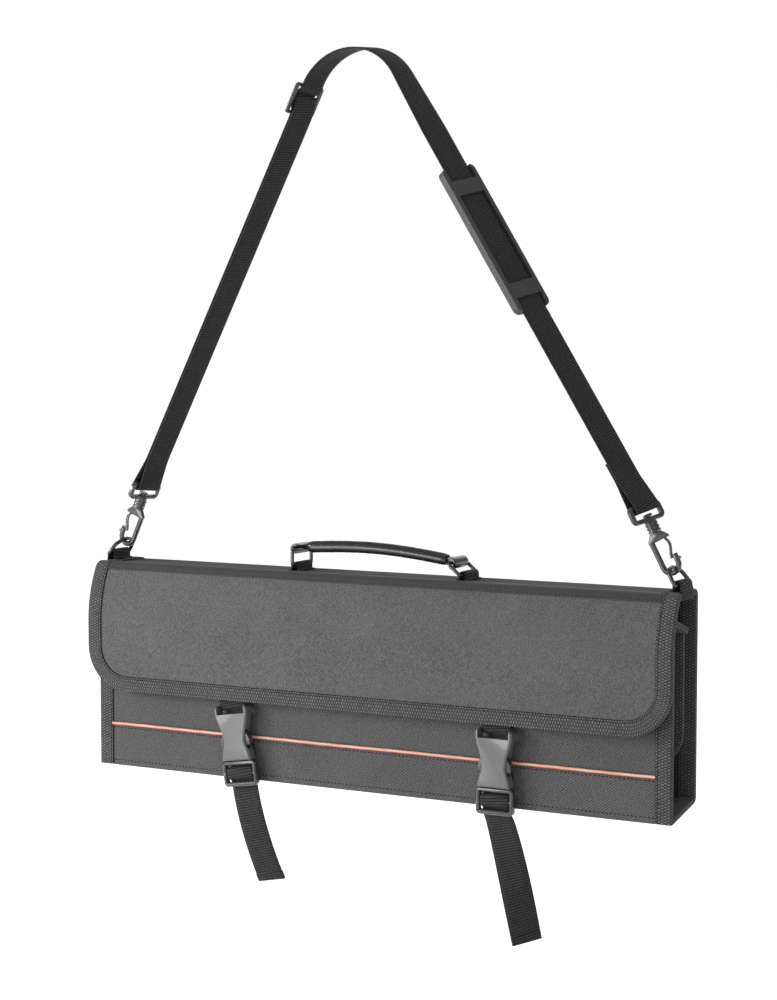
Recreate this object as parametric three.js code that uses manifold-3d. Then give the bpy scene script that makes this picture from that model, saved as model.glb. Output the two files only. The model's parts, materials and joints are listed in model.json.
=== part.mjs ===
// A hard chef knife case: stiffened cloth panels with bound edges, a flap closed by two side-release
// buckles, a tube handle and a shoulder strap on swivel hooks. Millimetres, +X right, +Y back, +Z up.
// It hangs from the top of its strap, and that hang point is the origin.
import * as THREE from "three";
import { mergeVertices } from "three/addons/utils/BufferGeometryUtils.js";
import Module from "manifold-3d";

const wasm = await Module();
wasm.setup();

// Driving dimensions

const SEAT_GAP = 0.3; // between pieces that touch
const CUT_OVERRUN = 1; // how far a cutter runs past the face it cuts
const DEGREE = Math.PI / 180;
const ROUND_STEP = 15 * DEGREE; // turn between two facets of a bend

// the case, from its outer cloth faces; z is 0 at the front panel's bottom edge
const CASE_LENGTH = 530;
const CASE_DEPTH = 50;
const TOP_HEIGHT = 175.5;
const BOTTOM_RISE = 10; // the bottom slopes up to the back by this much
const FRONT_DROP = 18;
const FRONT_HEIGHT = TOP_HEIGHT - FRONT_DROP;
const ROOF_DEPTH = 31;
const ROOF_DROP = 10.5;
const INNER_FLAP_LENGTH = 105;
const INNER_FLAP_INSET = 3; // shorter than the case at each end
const INNER_FLAP_SET_BACK = 1.6; // of its front face from the roof's back edge
const INNER_FLAP_CORNER_RADIUS = 30;
const SHELL_CORNER_RADIUS = 4.5;
const PANEL_END_GAP = 0.5; // between panels that a cloth fold joins
const LAYER_GAP = 0.05; // between a board and the cloth over it

// the layers of a stiffened panel and the tape that binds its edges
const CLOTH_THICKNESS = 0.8;
const BOARD_THICKNESS = 1.6;
const LINING_THICKNESS = 0.6;
const PANEL_THICKNESS = CLOTH_THICKNESS + BOARD_THICKNESS + LINING_THICKNESS;
const TAPE_THICKNESS = 0.7;
const TAPE_COVER = 12.5;
const TAPE_CHAMFER = 0.5;
const BINDING_PROUD = SEAT_GAP + TAPE_THICKNESS; // how far a binding stands out of its panel
const INNER_FLAP_THICKNESS = CLOTH_THICKNESS + LINING_THICKNESS;

// the flap: a tight fold over the top edge, a wide bulge, then straight down
const FLAP_OVERHANG = 4; // longer than the case at each end
const FLAP_FOLD_START = 7.1; // behind the front face
const FLAP_FOLD_RADIUS = 8;
const FLAP_FOLD_TURN = 62 * DEGREE;
const FLAP_BULGE_RADIUS = 98;
const FLAP_BULGE_STEP = 4 * DEGREE;
const FLAP_BOTTOM_HEIGHT = 67;
const FLAP_CORNER_RADIUS = 38;
const FOLD_TAPE_START = 1.2;
const FOLD_TAPE_LENGTH = 15;
const FOLD_TAPE_THICKNESS = 0.5;

// piping across the front
const PIPING_HEIGHT = 36;
const PIPING_DIAMETER = 2.4;
const PIPING_SIDES = 12;

// elastic bands on the back lining, sewn down between the knife loops
const ELASTIC_WIDTH = 32;
const ELASTIC_THICKNESS = 0.8;
const ELASTIC_LOOPS = 8;
const ELASTIC_LOOP_PITCH = 60;
const ELASTIC_LOOP_RISE = 2.4;
const ELASTIC_SEAM_SHARE = 0.12;
const ELASTIC_LOW_HEIGHT = 38;
const ELASTIC_HIGH_HEIGHT = 118;
const ELASTIC_LOOP_STEPS = 6;

// webbing
const WEBBING_WIDTH = 25;
const WEBBING_THICKNESS = 1.6;
const TAB_THICKNESS = 1.4;

// side-release buckle, from the mouth of its socket
const BUCKLE_RIGHT_X = 120.5;
const BUCKLE_LEFT_X = -118.5;
const BUCKLE_MOUTH_HEIGHT = 17;
const BUCKLE_LEFT_LEAN = 8.5 * DEGREE;
const BUCKLE_STAND_OFF = 7.7; // middle of the buckle in front of the front face
const SOCKET_LENGTH = 47;
const SOCKET_THICKNESS = 10;
const SOCKET_HALF_TOP = 16;
const SOCKET_HALF_WAIST = 10.4;
const SOCKET_HALF_MOUTH = 14.2;
const SOCKET_WAIST_HEIGHT = 16;
const SOCKET_EDGE_ROUND = 1.2;
const CAVITY_HALF_WIDTH = 11.4;
const CAVITY_THICKNESS = 6.6;
const CAVITY_LENGTH = 36;
const SOCKET_BAR = 3;
const SOCKET_BAR_DEPTH = 2.6;
const SOCKET_BAR_SET_BACK = 3.7; // the bar lies nearer the case than the socket's middle
const SOCKET_SLOT = 5;
const SOCKET_SLOT_HALF = 13.4;
const PRONG_THICKNESS = 5.6;
const PRONG_PAD_HALF = 14.6;
const PRONG_LENGTH = 32;
const PRONG_EDGE_ROUND = 0.5;
const PLUG_HALF_WIDTH = 16.3;
const PLUG_LENGTH = 22;
const PLUG_THICKNESS = 6;
const PLUG_SHOULDER = 4.2;
const PLUG_BAR_TOP = 9.6;
const PLUG_BAR = 3;
const PLUG_BAR_DEPTH = 2.4;
const PLUG_END_BAR = 3.6;
const PLUG_SLOT_HALF = 13.2;
const PLUG_EDGE_ROUND = 1;
const SOCKET_TAB_TOP = 104; // height of the seam that holds the tab under the flap

// strap anchors sewn on the front and the hanging tails
const ANCHOR_TOP = 33;
const ANCHOR_BOTTOM = 11;
const TAIL_THICKNESS = 1.4;
const LEFT_TAIL_LENGTH = 84;
const RIGHT_TAIL_LENGTH = 108;
const LEFT_TAIL_SWEEP = 22; // how far the end hangs behind the buckle
const RIGHT_TAIL_SWEEP = 30;
const RIGHT_TAIL_DRIFT = 7;
const RIGHT_TAIL_TURN = 42 * DEGREE;
const LEFT_TAIL_TURN = 6 * DEGREE;
const LEFT_TAIL_BOW = 1.7; // over 1 bends most near the end, under 1 most near the buckle
const RIGHT_TAIL_BOW = 0.75;
const TAIL_STEPS = 9;
const TAIL_HEM = 7;

// handle: two wire rings in webbing tabs, a strap through both and a tube over the strap
const RING_WIRE = 3.2;
const RING_HEIGHT = 14.3; // between the middles of the lower and the upper bar
const RING_HALF_WIDTH = 15.2; // to the middle of the side wires
const RING_CORNER = 3;
const LEFT_RING_X = -76.5;
const RIGHT_RING_X = 80;
const RIGHT_RING_LEAN = 50 * DEGREE;
const RING_PIVOT_LIFT = 4.7; // over the top of the case
const RING_PIVOT_HEIGHT = TOP_HEIGHT + RING_PIVOT_LIFT;
const RING_TAB_WIDTH = 24;
const RING_TAB_FOOT = 16;
const RING_TAB_CLEARANCE = 0.45;
const OPEN_PIVOT_CLEARANCE = 1.1; // right end of the handle, where its four-bar is opened
const HANDLE_STRAP_THICKNESS = 1.8;
const HANDLE_STRAP_WIDTH = 24;
const HANDLE_CORE_DIAMETER = 6;
const HANDLE_TUBE_DIAMETER = 8.6;
const HANDLE_TUBE_BORE = 6.8;
const HANDLE_RISE = 5.2; // of the grip's bow over the straight line between the rings
const HANDLE_TUBE_INSET = 16; // from ring bar to tube end
const HANDLE_NARROWING = 12; // over this length the strap draws in to the core
const HANDLE_STEPS = 10;
const HANDLE_FIN = 3; // the sewn seam of the tube, under its middle
const HANDLE_FIN_THICKNESS = 1.6;

// D-rings at both ends of the top
const DRING_WIRE = 3.4;
const DRING_HEIGHT = 15;
const DRING_HALF_WIDTH = 14.6;
const DRING_SIDE = 4.5; // straight before the arch
const DRING_LEAN = 35 * DEGREE;
const DRING_TAB_CLEARANCE = 0.45;
const DRING_TAB_TURN_DOWN = 5.5; // of the sewn end over the case's end face
const DRING_TAB_DROP = TOP_HEIGHT - DRING_TAB_TURN_DOWN;
const DRING_TAB_SEAM = 12;

// snap hook, from the middle of the wire at its lowest point, up along its shank
const HOOK_PIVOT_INSET = 8.5; // from the case's end
const HOOK_PIVOT_X = CASE_LENGTH / 2 - HOOK_PIVOT_INSET;
const HOOK_PIVOT_LIFT = 15;
const HOOK_PIVOT_HEIGHT = TOP_HEIGHT + HOOK_PIVOT_LIFT;
const HOOK_WIRE = 4.2;
const HOOK_DEPTH = 4.2;
const HOOK_WIRE_CHAMFER = 1.3;
const HOOK_BEND_RADIUS = 6.6; // of the wire's middle line
const HOOK_SHOULDER_HEIGHT = 27;
const HOOK_NOSE_HEIGHT = 13;
const HOOK_NECK_HEIGHT = 34;
const HOOK_RING_CLEARANCE = 0.7;
const GATE_THICKNESS = 1.8;
const GATE_TIP_HEIGHT = 10.5;
const SHANK_DIAMETER = 4;
const SHANK_CLEARANCE = 0.35;
const SHANK_HEAD_DIAMETER = 7.4;
const SHANK_HEAD_HEIGHT = 2;
const BARREL_DIAMETER = 10.5;
const BARREL_WAIST = 9.3;
const BARREL_LENGTH = 9;
const CROSS_PIECE = 3.6;
const BASE_WINDOW = 7.4;
const BASE_BAR = 4.4;
const BASE_HALF_WIDTH = 17.2;
const BASE_SLOT_HALF = 13.4;
const BASE_DEPTH = 4.6;
const BASE_EDGE_ROUND = 0.9;

// shoulder strap: two straight legs and a bend over the hang point
const HANG_X = -20;
const STRAP_HEIGHT = 428; // of the hang point over the case
const HANG_HEIGHT = TOP_HEIGHT + STRAP_HEIGHT;
const LEFT_TOP_RADIUS = 50;
const RIGHT_TOP_RADIUS = 45.6;
const LEFT_HOOK_LEAN = 24 * DEGREE;
const RIGHT_HOOK_LEAN = 28 * DEGREE;
const LEFT_STRAP_TILT = -10 * DEGREE;
const TOP_STRAP_TILT = 4 * DEGREE;
const RIGHT_STRAP_TILT = 24 * DEGREE;
const RIGHT_HEM_LENGTH = 17;
const STRAP_SPREAD_LENGTH = 24; // above a hook bar the two layers come together over this length
const STRAP_TWIST_LENGTH = 55; // of the twist below the right bend
const STRAP_BEND_STEPS = 7;

// strap slider with two slots
const SLIDER_DISTANCE = 1; // below the start of the left bend
const SLIDER_SLOT = 9;
const SLIDER_BAR = 3;
const SLIDER_THICKNESS = 2.4;
const SLIDER_SLOT_HALF = 13.3;
const SLIDER_HALF_WIDTH = 17.4;
const SLIDER_EDGE_ROUND = 0.7;

// shoulder pad: a rubber plate with side rails and two bridges over the webbing
const PAD_LENGTH = 132;
const PAD_WIDTH = 35;
const PAD_BASE = 3.2;
const PAD_BRIDGE = 1.8;
const PAD_BRIDGE_LENGTH = 13;
const PAD_BRIDGE_INSET = 12;
const PAD_CORNER = 5;
const PAD_DISTANCE = 92; // of its upper end below the start of the right bend
const PAD_CLEARANCE = 0.45;
const PAD_RAIL_HALF_INNER = 13.4;

// side-release socket, prongs and closing webbing, as shares of the sizes above
const SIDE_WINDOW_SHARES = [0.2, 0.53]; // of the socket's length, where the prongs stand out
const SOCKET_OUTLINE_SHARES = [
  // [half width between mouth and waist or waist and top, height between the same two]
  [0, 0],
  [0.2, 0.35],
  [0.75, 0.75],
  [1, 1],
];
const PRONG_OUTLINE_SHARES = [
  // [across of the pad's half width, up of the prong's length]
  [0.45, 0],
  [0.66, 0],
  [0.66, 0.3],
  [0.74, 0.37],
  [0.95, 0.39],
  [1, 0.44],
  [1, 0.53],
  [0.9, 0.65],
  [0.74, 0.74],
  [0.62, 1],
  [0.47, 1],
];

// Colours and finishes

const finish = (color, roughness, metalness = 0) =>
  new THREE.MeshStandardMaterial({ color, roughness, metalness });
const CLOTH_GREY = finish(0x4a4b4d, 0.85);
const TAPE_GREY = finish(0x37383a, 0.9);
const LINING_GREY = finish(0x303133, 0.9);
const BOARD_BROWN = finish(0x6b5f52, 0.95);
const PIPING_ORANGE = finish(0xe8835f, 0.6);
const WEBBING_BLACK = finish(0x232324, 0.85);
const PLASTIC_GREY = finish(0x3c3d3f, 0.4);
const HOOK_PLASTIC = finish(0x4b4c4e, 0.4);
const WIRE_METAL = finish(0x6a6b6d, 0.35, 0.8);
const VINYL_BLACK = finish(0x2b2c2d, 0.3);
const RUBBER_GREY = finish(0x47484a, 0.7);

// Helpers for solids

const vec = (x, y, z) => new THREE.Vector3(x, y, z);
const lerp = THREE.MathUtils.lerp;

// A closed solid from rings of points; every ring is the section placed by one station.
// A station maps a point (u, v) of the section to space.
function loft(section, stations, closed = false) {
  const rings = stations.map((place) => section.map(([u, v]) => place(u, v)));
  const count = section.length;
  const points = rings.flat();
  const faces = [];
  const spans = closed ? rings.length : rings.length - 1;
  for (let i = 0; i < spans; i++) {
    const near = i * count;
    const far = ((i + 1) % rings.length) * count;
    for (let j = 0; j < count; j++) {
      const k = (j + 1) % count;
      faces.push(near + j, near + k, far + k, near + j, far + k, far + j);
    }
  }
  if (closed) return closedGeometry(points, faces);
  const contour = section.map(([u, v]) => new THREE.Vector2(u, v));
  const wound = Math.sign(THREE.ShapeUtils.area(contour));
  const last = (rings.length - 1) * count;
  for (const corner of THREE.ShapeUtils.triangulateShape(contour, [])) {
    const same = Math.sign(THREE.ShapeUtils.area(corner.map((i) => contour[i]))) === wound;
    const [a, b, c] = same ? corner : [...corner].reverse();
    faces.push(a, c, b, last + a, last + b, last + c);
  }
  return closedGeometry(points, faces);
}

// A geometry from points and triangles, turned so that its faces point out.
function closedGeometry(points, faces) {
  let volume = 0;
  const cross = vec(0, 0, 0);
  for (let i = 0; i < faces.length; i += 3) {
    cross.crossVectors(points[faces[i + 1]], points[faces[i + 2]]);
    volume += points[faces[i]].dot(cross);
  }
  if (volume < 0)
    for (let i = 0; i < faces.length; i += 3)
      [faces[i + 1], faces[i + 2]] = [faces[i + 2], faces[i + 1]];
  const geometry = new THREE.BufferGeometry().setFromPoints(points);
  geometry.setIndex(faces);
  return geometry;
}

function solidOf(geometry) {
  const bare = geometry.index ? geometry.toNonIndexed() : geometry.clone();
  for (const name of Object.keys(bare.attributes))
    if (name !== "position") bare.deleteAttribute(name);
  const merged = mergeVertices(bare, 1e-4);
  return new wasm.Manifold(
    new wasm.Mesh({
      numProp: 3,
      vertProperties: merged.attributes.position.array,
      triVerts: new Uint32Array(merged.index.array),
    }),
  );
}

function geometryOf(solid) {
  const mesh = solid.getMesh();
  const geometry = new THREE.BufferGeometry();
  const places = new Float32Array(mesh.vertProperties);
  geometry.setAttribute("position", new THREE.BufferAttribute(places, 3));
  geometry.setIndex(new THREE.BufferAttribute(new Uint32Array(mesh.triVerts), 1));
  return geometry;
}

const joined = (...parts) =>
  geometryOf(parts.map(solidOf).reduce((a, b) => a.add(b)));
const cutFrom = (body, ...cutters) =>
  geometryOf(cutters.map(solidOf).reduce((a, b) => a.subtract(b), solidOf(body)));

function block(width, depth, height, x = 0, y = 0, z = 0) {
  return new THREE.BoxGeometry(width, depth, height).translate(x, y, z);
}

// An outline in the X-Z plane, given thickness along Y about y = 0, with rounded rims.
function plate(outline, thickness, rim, holes = []) {
  const shape = outline instanceof THREE.Shape ? outline : new THREE.Shape(outline);
  shape.holes = holes;
  const geometry = new THREE.ExtrudeGeometry(shape, {
    depth: thickness - 2 * rim,
    bevelEnabled: rim > 0,
    bevelThickness: rim,
    bevelSize: rim,
    bevelOffset: -rim,
    bevelSegments: 1,
    curveSegments: 5,
  });
  geometry.translate(0, 0, rim - thickness / 2);
  return geometry.rotateX(Math.PI / 2);
}

function roundedRectangle(halfWidth, low, high, radius, Kind = THREE.Shape) {
  const shape = new Kind();
  shape.moveTo(radius - halfWidth, low);
  shape.lineTo(halfWidth - radius, low);
  shape.absarc(halfWidth - radius, low + radius, radius, -Math.PI / 2, 0);
  shape.lineTo(halfWidth, high - radius);
  shape.absarc(halfWidth - radius, high - radius, radius, 0, Math.PI / 2);
  shape.lineTo(radius - halfWidth, high);
  shape.absarc(radius - halfWidth, high - radius, radius, Math.PI / 2, Math.PI);
  shape.lineTo(-halfWidth, low + radius);
  shape.absarc(radius - halfWidth, low + radius, radius, Math.PI, 1.5 * Math.PI);
  return shape;
}

// The points of a closed line without its repeated ones.
const distinct = (points) =>
  points.filter(([a, b], i) => {
    const [c, d] = points[(i + 1) % points.length];
    return Math.hypot(a - c, b - d) > SEAT_GAP / 10;
  });

// The mitred normal at each point of a line in a plane.
function mitres(points, closed = false) {
  const count = points.length;
  return points.map(([a, b], i) => {
    const before = points[closed ? (i + count - 1) % count : Math.max(i - 1, 0)];
    const after = points[closed ? (i + 1) % count : Math.min(i + 1, count - 1)];
    const incoming = new THREE.Vector2(a - before[0], b - before[1]).normalize();
    const outgoing = new THREE.Vector2(after[0] - a, after[1] - b).normalize();
    const along = incoming.clone().add(outgoing).normalize();
    const stretch = 1 / along.dot(incoming.lengthSq() > 0 ? incoming : outgoing);
    return { a, b, na: -along.y * stretch, nb: along.x * stretch };
  });
}

// Stations of a ribbon or wire along a line in a plane. The frame gives the plane's axes a and b and
// the direction across it.
const stationsOf = (points, frame, closed = false) =>
  mitres(points, closed).map(({ a, b, na, nb }) => ({
    centre: frame.origin.clone().addScaledVector(frame.a, a).addScaledVector(frame.b, b),
    across: frame.width,
    normal: frame.a.clone().multiplyScalar(na).addScaledVector(frame.b, nb),
  }));

const sweepStations = (section, stations, closed = false) =>
  loft(
    section,
    stations.map(({ centre, across, normal }) => {
      return (u, v) => centre.clone().addScaledVector(across, u).addScaledVector(normal, v);
    }),
    closed,
  );

const sweep = (section, points, frame, closed = false) =>
  sweepStations(section, stationsOf(points, frame, closed), closed);

const flatSection = (width, thickness) => [
  [-width / 2, -thickness / 2],
  [width / 2, -thickness / 2],
  [width / 2, thickness / 2],
  [-width / 2, thickness / 2],
];

const roundSection = (diameter, sides = 10) =>
  Array.from({ length: sides }, (_, i) => {
    const angle = (2 * Math.PI * (i + 1 / 2)) / sides;
    return [(diameter / 2) * Math.cos(angle), (diameter / 2) * Math.sin(angle)];
  });

const chamferedSection = (width, thickness, chamfer) => {
  const [w, t] = [width / 2, thickness / 2];
  return [
    [chamfer - w, -t],
    [w - chamfer, -t],
    [w, chamfer - t],
    [w, t - chamfer],
    [w - chamfer, t],
    [chamfer - w, t],
    [-w, t - chamfer],
    [-w, chamfer - t],
  ];
};

const strip = (points, thickness, width, frame) =>
  sweep(flatSection(width, thickness), points, frame);

// Points on an arc in a plane, from one angle to another.
function arc(centre, radius, from, to, step = 2 * ROUND_STEP) {
  const count = Math.max(1, Math.ceil(Math.abs(to - from) / step - 1e-9));
  return Array.from({ length: count + 1 }, (_, i) => {
    const angle = lerp(from, to, i / count);
    return [centre[0] + radius * Math.cos(angle), centre[1] + radius * Math.sin(angle)];
  });
}

const FRAME_XZ = { origin: vec(0, 0, 0), a: vec(1, 0, 0), b: vec(0, 0, 1), width: vec(0, 1, 0) };
const FRAME_YZ = { origin: vec(0, 0, 0), a: vec(0, 1, 0), b: vec(0, 0, 1), width: vec(1, 0, 0) };
const at = (frame, origin) => ({ ...frame, origin });

const model = new THREE.Group();
model.position.set(-HANG_X, 0, WEBBING_THICKNESS / 2 - HANG_HEIGHT);

function add(name, geometry, material, parent = model) {
  const mesh = new THREE.Mesh(geometry, material);
  mesh.name = name;
  parent.add(mesh);
  return mesh;
}

// Panels: a cloth strip seen from its end follows a path in the Y-Z plane. The path's left side is out,
// and a panel's layers lie at depths below that outer face.

class StripPath {
  constructor(y, z, angle) {
    this.marks = [{ s: 0, y, z, angle }];
  }
  get end() {
    return this.marks[this.marks.length - 1];
  }
  // angle 0 runs forward (-Y) and turns down as it grows
  line(length) {
    const { s, y, z, angle } = this.end;
    const ends = [y - length * Math.cos(angle), z - length * Math.sin(angle)];
    this.marks.push({ s: s + length, y: ends[0], z: ends[1], angle });
    return this;
  }
  // a bend of the outer face to a new angle
  bend(radius, angle, step = ROUND_STEP) {
    const start = this.end;
    const count = Math.ceil(Math.abs(angle - start.angle) / step - 1e-9);
    const side = Math.sign(angle - start.angle);
    for (let i = 1; i <= count; i++) {
      const now = lerp(start.angle, angle, i / count);
      const y = start.y - side * radius * (Math.sin(now) - Math.sin(start.angle));
      const z = start.z + side * radius * (Math.cos(now) - Math.cos(start.angle));
      this.marks.push({ s: start.s + Math.abs(now - start.angle) * radius, y, z, angle: now });
    }
    return this;
  }
  // the mark, or a place between two marks, at a distance along the path
  mark(s) {
    const last = this.marks.length - 2;
    let i = 0;
    while (i < last && this.marks[i + 1].s < s - 1e-9) i++;
    const [a, b] = [this.marks[i], this.marks[i + 1]];
    const share = (s - a.s) / (b.s - a.s);
    return {
      y: lerp(a.y, b.y, share),
      z: lerp(a.z, b.z, share),
      angle: lerp(a.angle, b.angle, share),
    };
  }
  point(x, s, depth) {
    const { y, z, angle } = this.mark(s);
    return vec(x, y + depth * Math.sin(angle), z - depth * Math.cos(angle));
  }
  // the distances of the marks between two places, with both places
  stops(from, to) {
    const inside = this.marks.map((m) => m.s).filter((s) => s > from + 1e-6 && s < to - 1e-6);
    return [from, ...inside, to];
  }
}

// One layer of a panel between two depths. Its half width may change along the path.
function layer(path, from, to, halfWidth, top, bottom, stops = path.stops(from, to)) {
  const section = [
    [-1, top],
    [1, top],
    [1, bottom],
    [-1, bottom],
  ];
  const half = typeof halfWidth === "function" ? halfWidth : () => halfWidth;
  return loft(
    section,
    stops.map((s) => (u, v) => path.point(u * half(s), s, v)),
  );
}

// The folded tape over a panel's edge, as points [distance in from the edge, depth].
function tapeSection(thickness) {
  const low = thickness + SEAT_GAP;
  const out = -BINDING_PROUD;
  return [
    [TAPE_COVER, -SEAT_GAP],
    [-SEAT_GAP, -SEAT_GAP],
    [-SEAT_GAP, low],
    [TAPE_COVER, low],
    [TAPE_COVER, low + TAPE_THICKNESS],
    [out + TAPE_CHAMFER, low + TAPE_THICKNESS],
    [out, low + TAPE_THICKNESS - TAPE_CHAMFER],
    [out, TAPE_CHAMFER - BINDING_PROUD],
    [out + TAPE_CHAMFER, -BINDING_PROUD],
    [TAPE_COVER, -BINDING_PROUD],
  ];
}

function sideBinding(path, from, to, halfLength, side, thickness) {
  const stations = path
    .stops(from, to)
    .map((s) => (a, depth) => path.point(side * (halfLength - a), s, depth));
  return loft(tapeSection(thickness), stations);
}

// Half width of a panel whose last two corners are round.
const roundedHalf = (halfLength, end, radius) => (s) => {
  const over = Math.max(0, s - (end - radius));
  return halfLength - radius + Math.sqrt(Math.max(0, radius * radius - over * over));
};

const cornerStops = (end, radius) =>
  arc([end - radius, 0], radius, 0, Math.PI / 2, ROUND_STEP).map(([s]) => s);

function roundedStops(path, from, end, radius) {
  const straight = path.stops(from, end - radius);
  const round = cornerStops(end, radius).reverse();
  return [...straight, ...round.slice(1)];
}

// Binding down one side, round both corners and up the other side.
function loopBinding(path, from, end, halfLength, radius, thickness) {
  const side = path.stops(from, end - radius).map((s) => ({ x: halfLength, s, nx: 1, ns: 0 }));
  const corner = arc([0, 0], 1, 0, Math.PI / 2, ROUND_STEP)
    .slice(1)
    .map(([nx, ns]) => ({
      x: halfLength - radius + radius * nx,
      s: end - radius + radius * ns,
      nx,
      ns,
    }));
  const half = [...side, ...corner];
  const mirrored = half.map((p) => ({ ...p, x: -p.x, nx: -p.nx })).reverse();
  const stations = [...half, ...mirrored].map(
    ({ x, s, nx, ns }) =>
      (a, depth) =>
        path.point(x - a * nx, s - a * ns, depth),
  );
  return loft(tapeSection(thickness), stations);
}

const HALF_LENGTH = CASE_LENGTH / 2;
const FRONT_Y = -CASE_DEPTH / 2;
const BACK_Y = CASE_DEPTH / 2;
const BOARD_DEPTH = CLOTH_THICKNESS;
const LINING_DEPTH = CLOTH_THICKNESS + BOARD_THICKNESS;
const BOARD_INSET = 2; // the board stops short of the cloth's edge
const UP = -Math.PI / 2;
const BACKWARD = -Math.PI;
const DOWN = Math.PI / 2;

// The shell: bottom, back and top in one strip, from the front bottom edge round to the flap's fold.
const bottomSlope = Math.atan2(BOTTOM_RISE, CASE_DEPTH);
const bottomLean = (PANEL_THICKNESS + BINDING_PROUD) * Math.sin(bottomSlope);
const bottomStart = FRONT_Y + PANEL_THICKNESS + BINDING_PROUD + PANEL_END_GAP + bottomLean;
const cornerReach = SHELL_CORNER_RADIUS * Math.tan((Math.PI / 2 - bottomSlope) / 2);
const bottomLength = (BACK_Y - bottomStart) / Math.cos(bottomSlope) - cornerReach;
const backLength = TOP_HEIGHT - BOTTOM_RISE - cornerReach - SHELL_CORNER_RADIUS;
const foldStartY = FRONT_Y + FLAP_FOLD_START;
const topLength = BACK_Y - SHELL_CORNER_RADIUS - foldStartY - PANEL_END_GAP;
const shellPath = new StripPath(
  bottomStart,
  (bottomStart - FRONT_Y) * Math.tan(bottomSlope),
  BACKWARD + bottomSlope,
);
const bottomEnd = shellPath.line(bottomLength).end.s;
const backStart = shellPath.bend(SHELL_CORNER_RADIUS, UP).end.s;
const backEnd = shellPath.line(backLength).end.s;
const topStart = shellPath.bend(SHELL_CORNER_RADIUS, 0).end.s;
const shellEnd = shellPath.line(topLength).end.s;

const cloth = (path, from, to, half, stops) =>
  layer(path, from, to, half, 0, CLOTH_THICKNESS, stops);
const lining = (path, from, to, half, stops) =>
  layer(path, from, to, half, LINING_DEPTH, PANEL_THICKNESS, stops);
const board = (path, from, to, half, stops) =>
  layer(path, from, to, half, BOARD_DEPTH + LAYER_GAP, LINING_DEPTH - LAYER_GAP, stops);

function addShell() {
  const boardHalf = HALF_LENGTH - BOARD_INSET;
  add("shell_cloth", cloth(shellPath, 0, shellEnd, HALF_LENGTH), CLOTH_GREY);
  add("shell_lining", lining(shellPath, 0, shellEnd, HALF_LENGTH), LINING_GREY);
  add("bottom_board", board(shellPath, BOARD_INSET, bottomEnd, boardHalf), BOARD_BROWN);
  add("back_board", board(shellPath, backStart, backEnd, boardHalf), BOARD_BROWN);
  add("top_board", board(shellPath, topStart, shellEnd - BOARD_INSET, boardHalf), BOARD_BROWN);
  for (const [name, side] of [
    ["left", -1],
    ["right", 1],
  ]) {
    const tape = sideBinding(shellPath, 0, shellEnd, HALF_LENGTH, side, PANEL_THICKNESS);
    add("shell_binding_" + name, tape, TAPE_GREY);
  }
}

// Elastic bands inside the back: the line runs along X, and its loops rise forward.
function elasticBand(height) {
  const seamHalf = (ELASTIC_SEAM_SHARE * ELASTIC_LOOP_PITCH) / 2;
  const reach = (ELASTIC_LOOPS * ELASTIC_LOOP_PITCH) / 2;
  const points = [[-reach - seamHalf, 0]];
  for (let i = 0; i < ELASTIC_LOOPS; i++) {
    const start = i * ELASTIC_LOOP_PITCH - reach + seamHalf;
    const span = ELASTIC_LOOP_PITCH - 2 * seamHalf;
    for (let j = 0; j <= ELASTIC_LOOP_STEPS; j++) {
      const share = j / ELASTIC_LOOP_STEPS;
      points.push([start + span * share, ELASTIC_LOOP_RISE * Math.sin(Math.PI * share)]);
    }
  }
  points.push([reach + seamHalf, 0]);
  const y = BACK_Y - PANEL_THICKNESS - SEAT_GAP - ELASTIC_THICKNESS / 2;
  const frame = { origin: vec(0, y, height), a: vec(1, 0, 0), b: vec(0, -1, 0), width: vec(0, 0, 1) };
  return strip(points, ELASTIC_THICKNESS, ELASTIC_WIDTH, frame);
}

// The flap from its fold over the top edge down to its rounded corners.
const flapPath = new StripPath(foldStartY, TOP_HEIGHT, 0);
const flapFoldEnd = flapPath.bend(FLAP_FOLD_RADIUS, FLAP_FOLD_TURN).end.s;
flapPath.bend(FLAP_BULGE_RADIUS, DOWN, FLAP_BULGE_STEP);
const flapEnd = flapPath.line(flapPath.end.z - FLAP_BOTTOM_HEIGHT).end.s;
const FLAP_Y = flapPath.end.y;
const FLAP_HALF = HALF_LENGTH + FLAP_OVERHANG;

function addFlap() {
  const half = roundedHalf(FLAP_HALF, flapEnd, FLAP_CORNER_RADIUS);
  const stops = roundedStops(flapPath, 0, flapEnd, FLAP_CORNER_RADIUS);
  add("flap_cloth", cloth(flapPath, 0, flapEnd, half, stops), CLOTH_GREY);
  add("flap_lining", lining(flapPath, 0, flapEnd, half, stops), LINING_GREY);
  const boardEnd = flapEnd - BOARD_INSET;
  const boardCorner = FLAP_CORNER_RADIUS - BOARD_INSET;
  const boardHalf = roundedHalf(FLAP_HALF - BOARD_INSET, boardEnd, boardCorner);
  const boardStops = roundedStops(flapPath, flapFoldEnd, boardEnd, boardCorner);
  add("flap_board", board(flapPath, flapFoldEnd, boardEnd, boardHalf, boardStops), BOARD_BROWN);
  const tape = loopBinding(flapPath, 0, flapEnd, FLAP_HALF, FLAP_CORNER_RADIUS, PANEL_THICKNESS);
  add("flap_binding", tape, TAPE_GREY);
  const foldTape = layer(
    flapPath,
    FOLD_TAPE_START,
    FOLD_TAPE_START + FOLD_TAPE_LENGTH,
    FLAP_HALF - TAPE_COVER - SEAT_GAP,
    -SEAT_GAP - FOLD_TAPE_THICKNESS,
    -SEAT_GAP,
  );
  add("fold_tape", foldTape, CLOTH_GREY);
}

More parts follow.
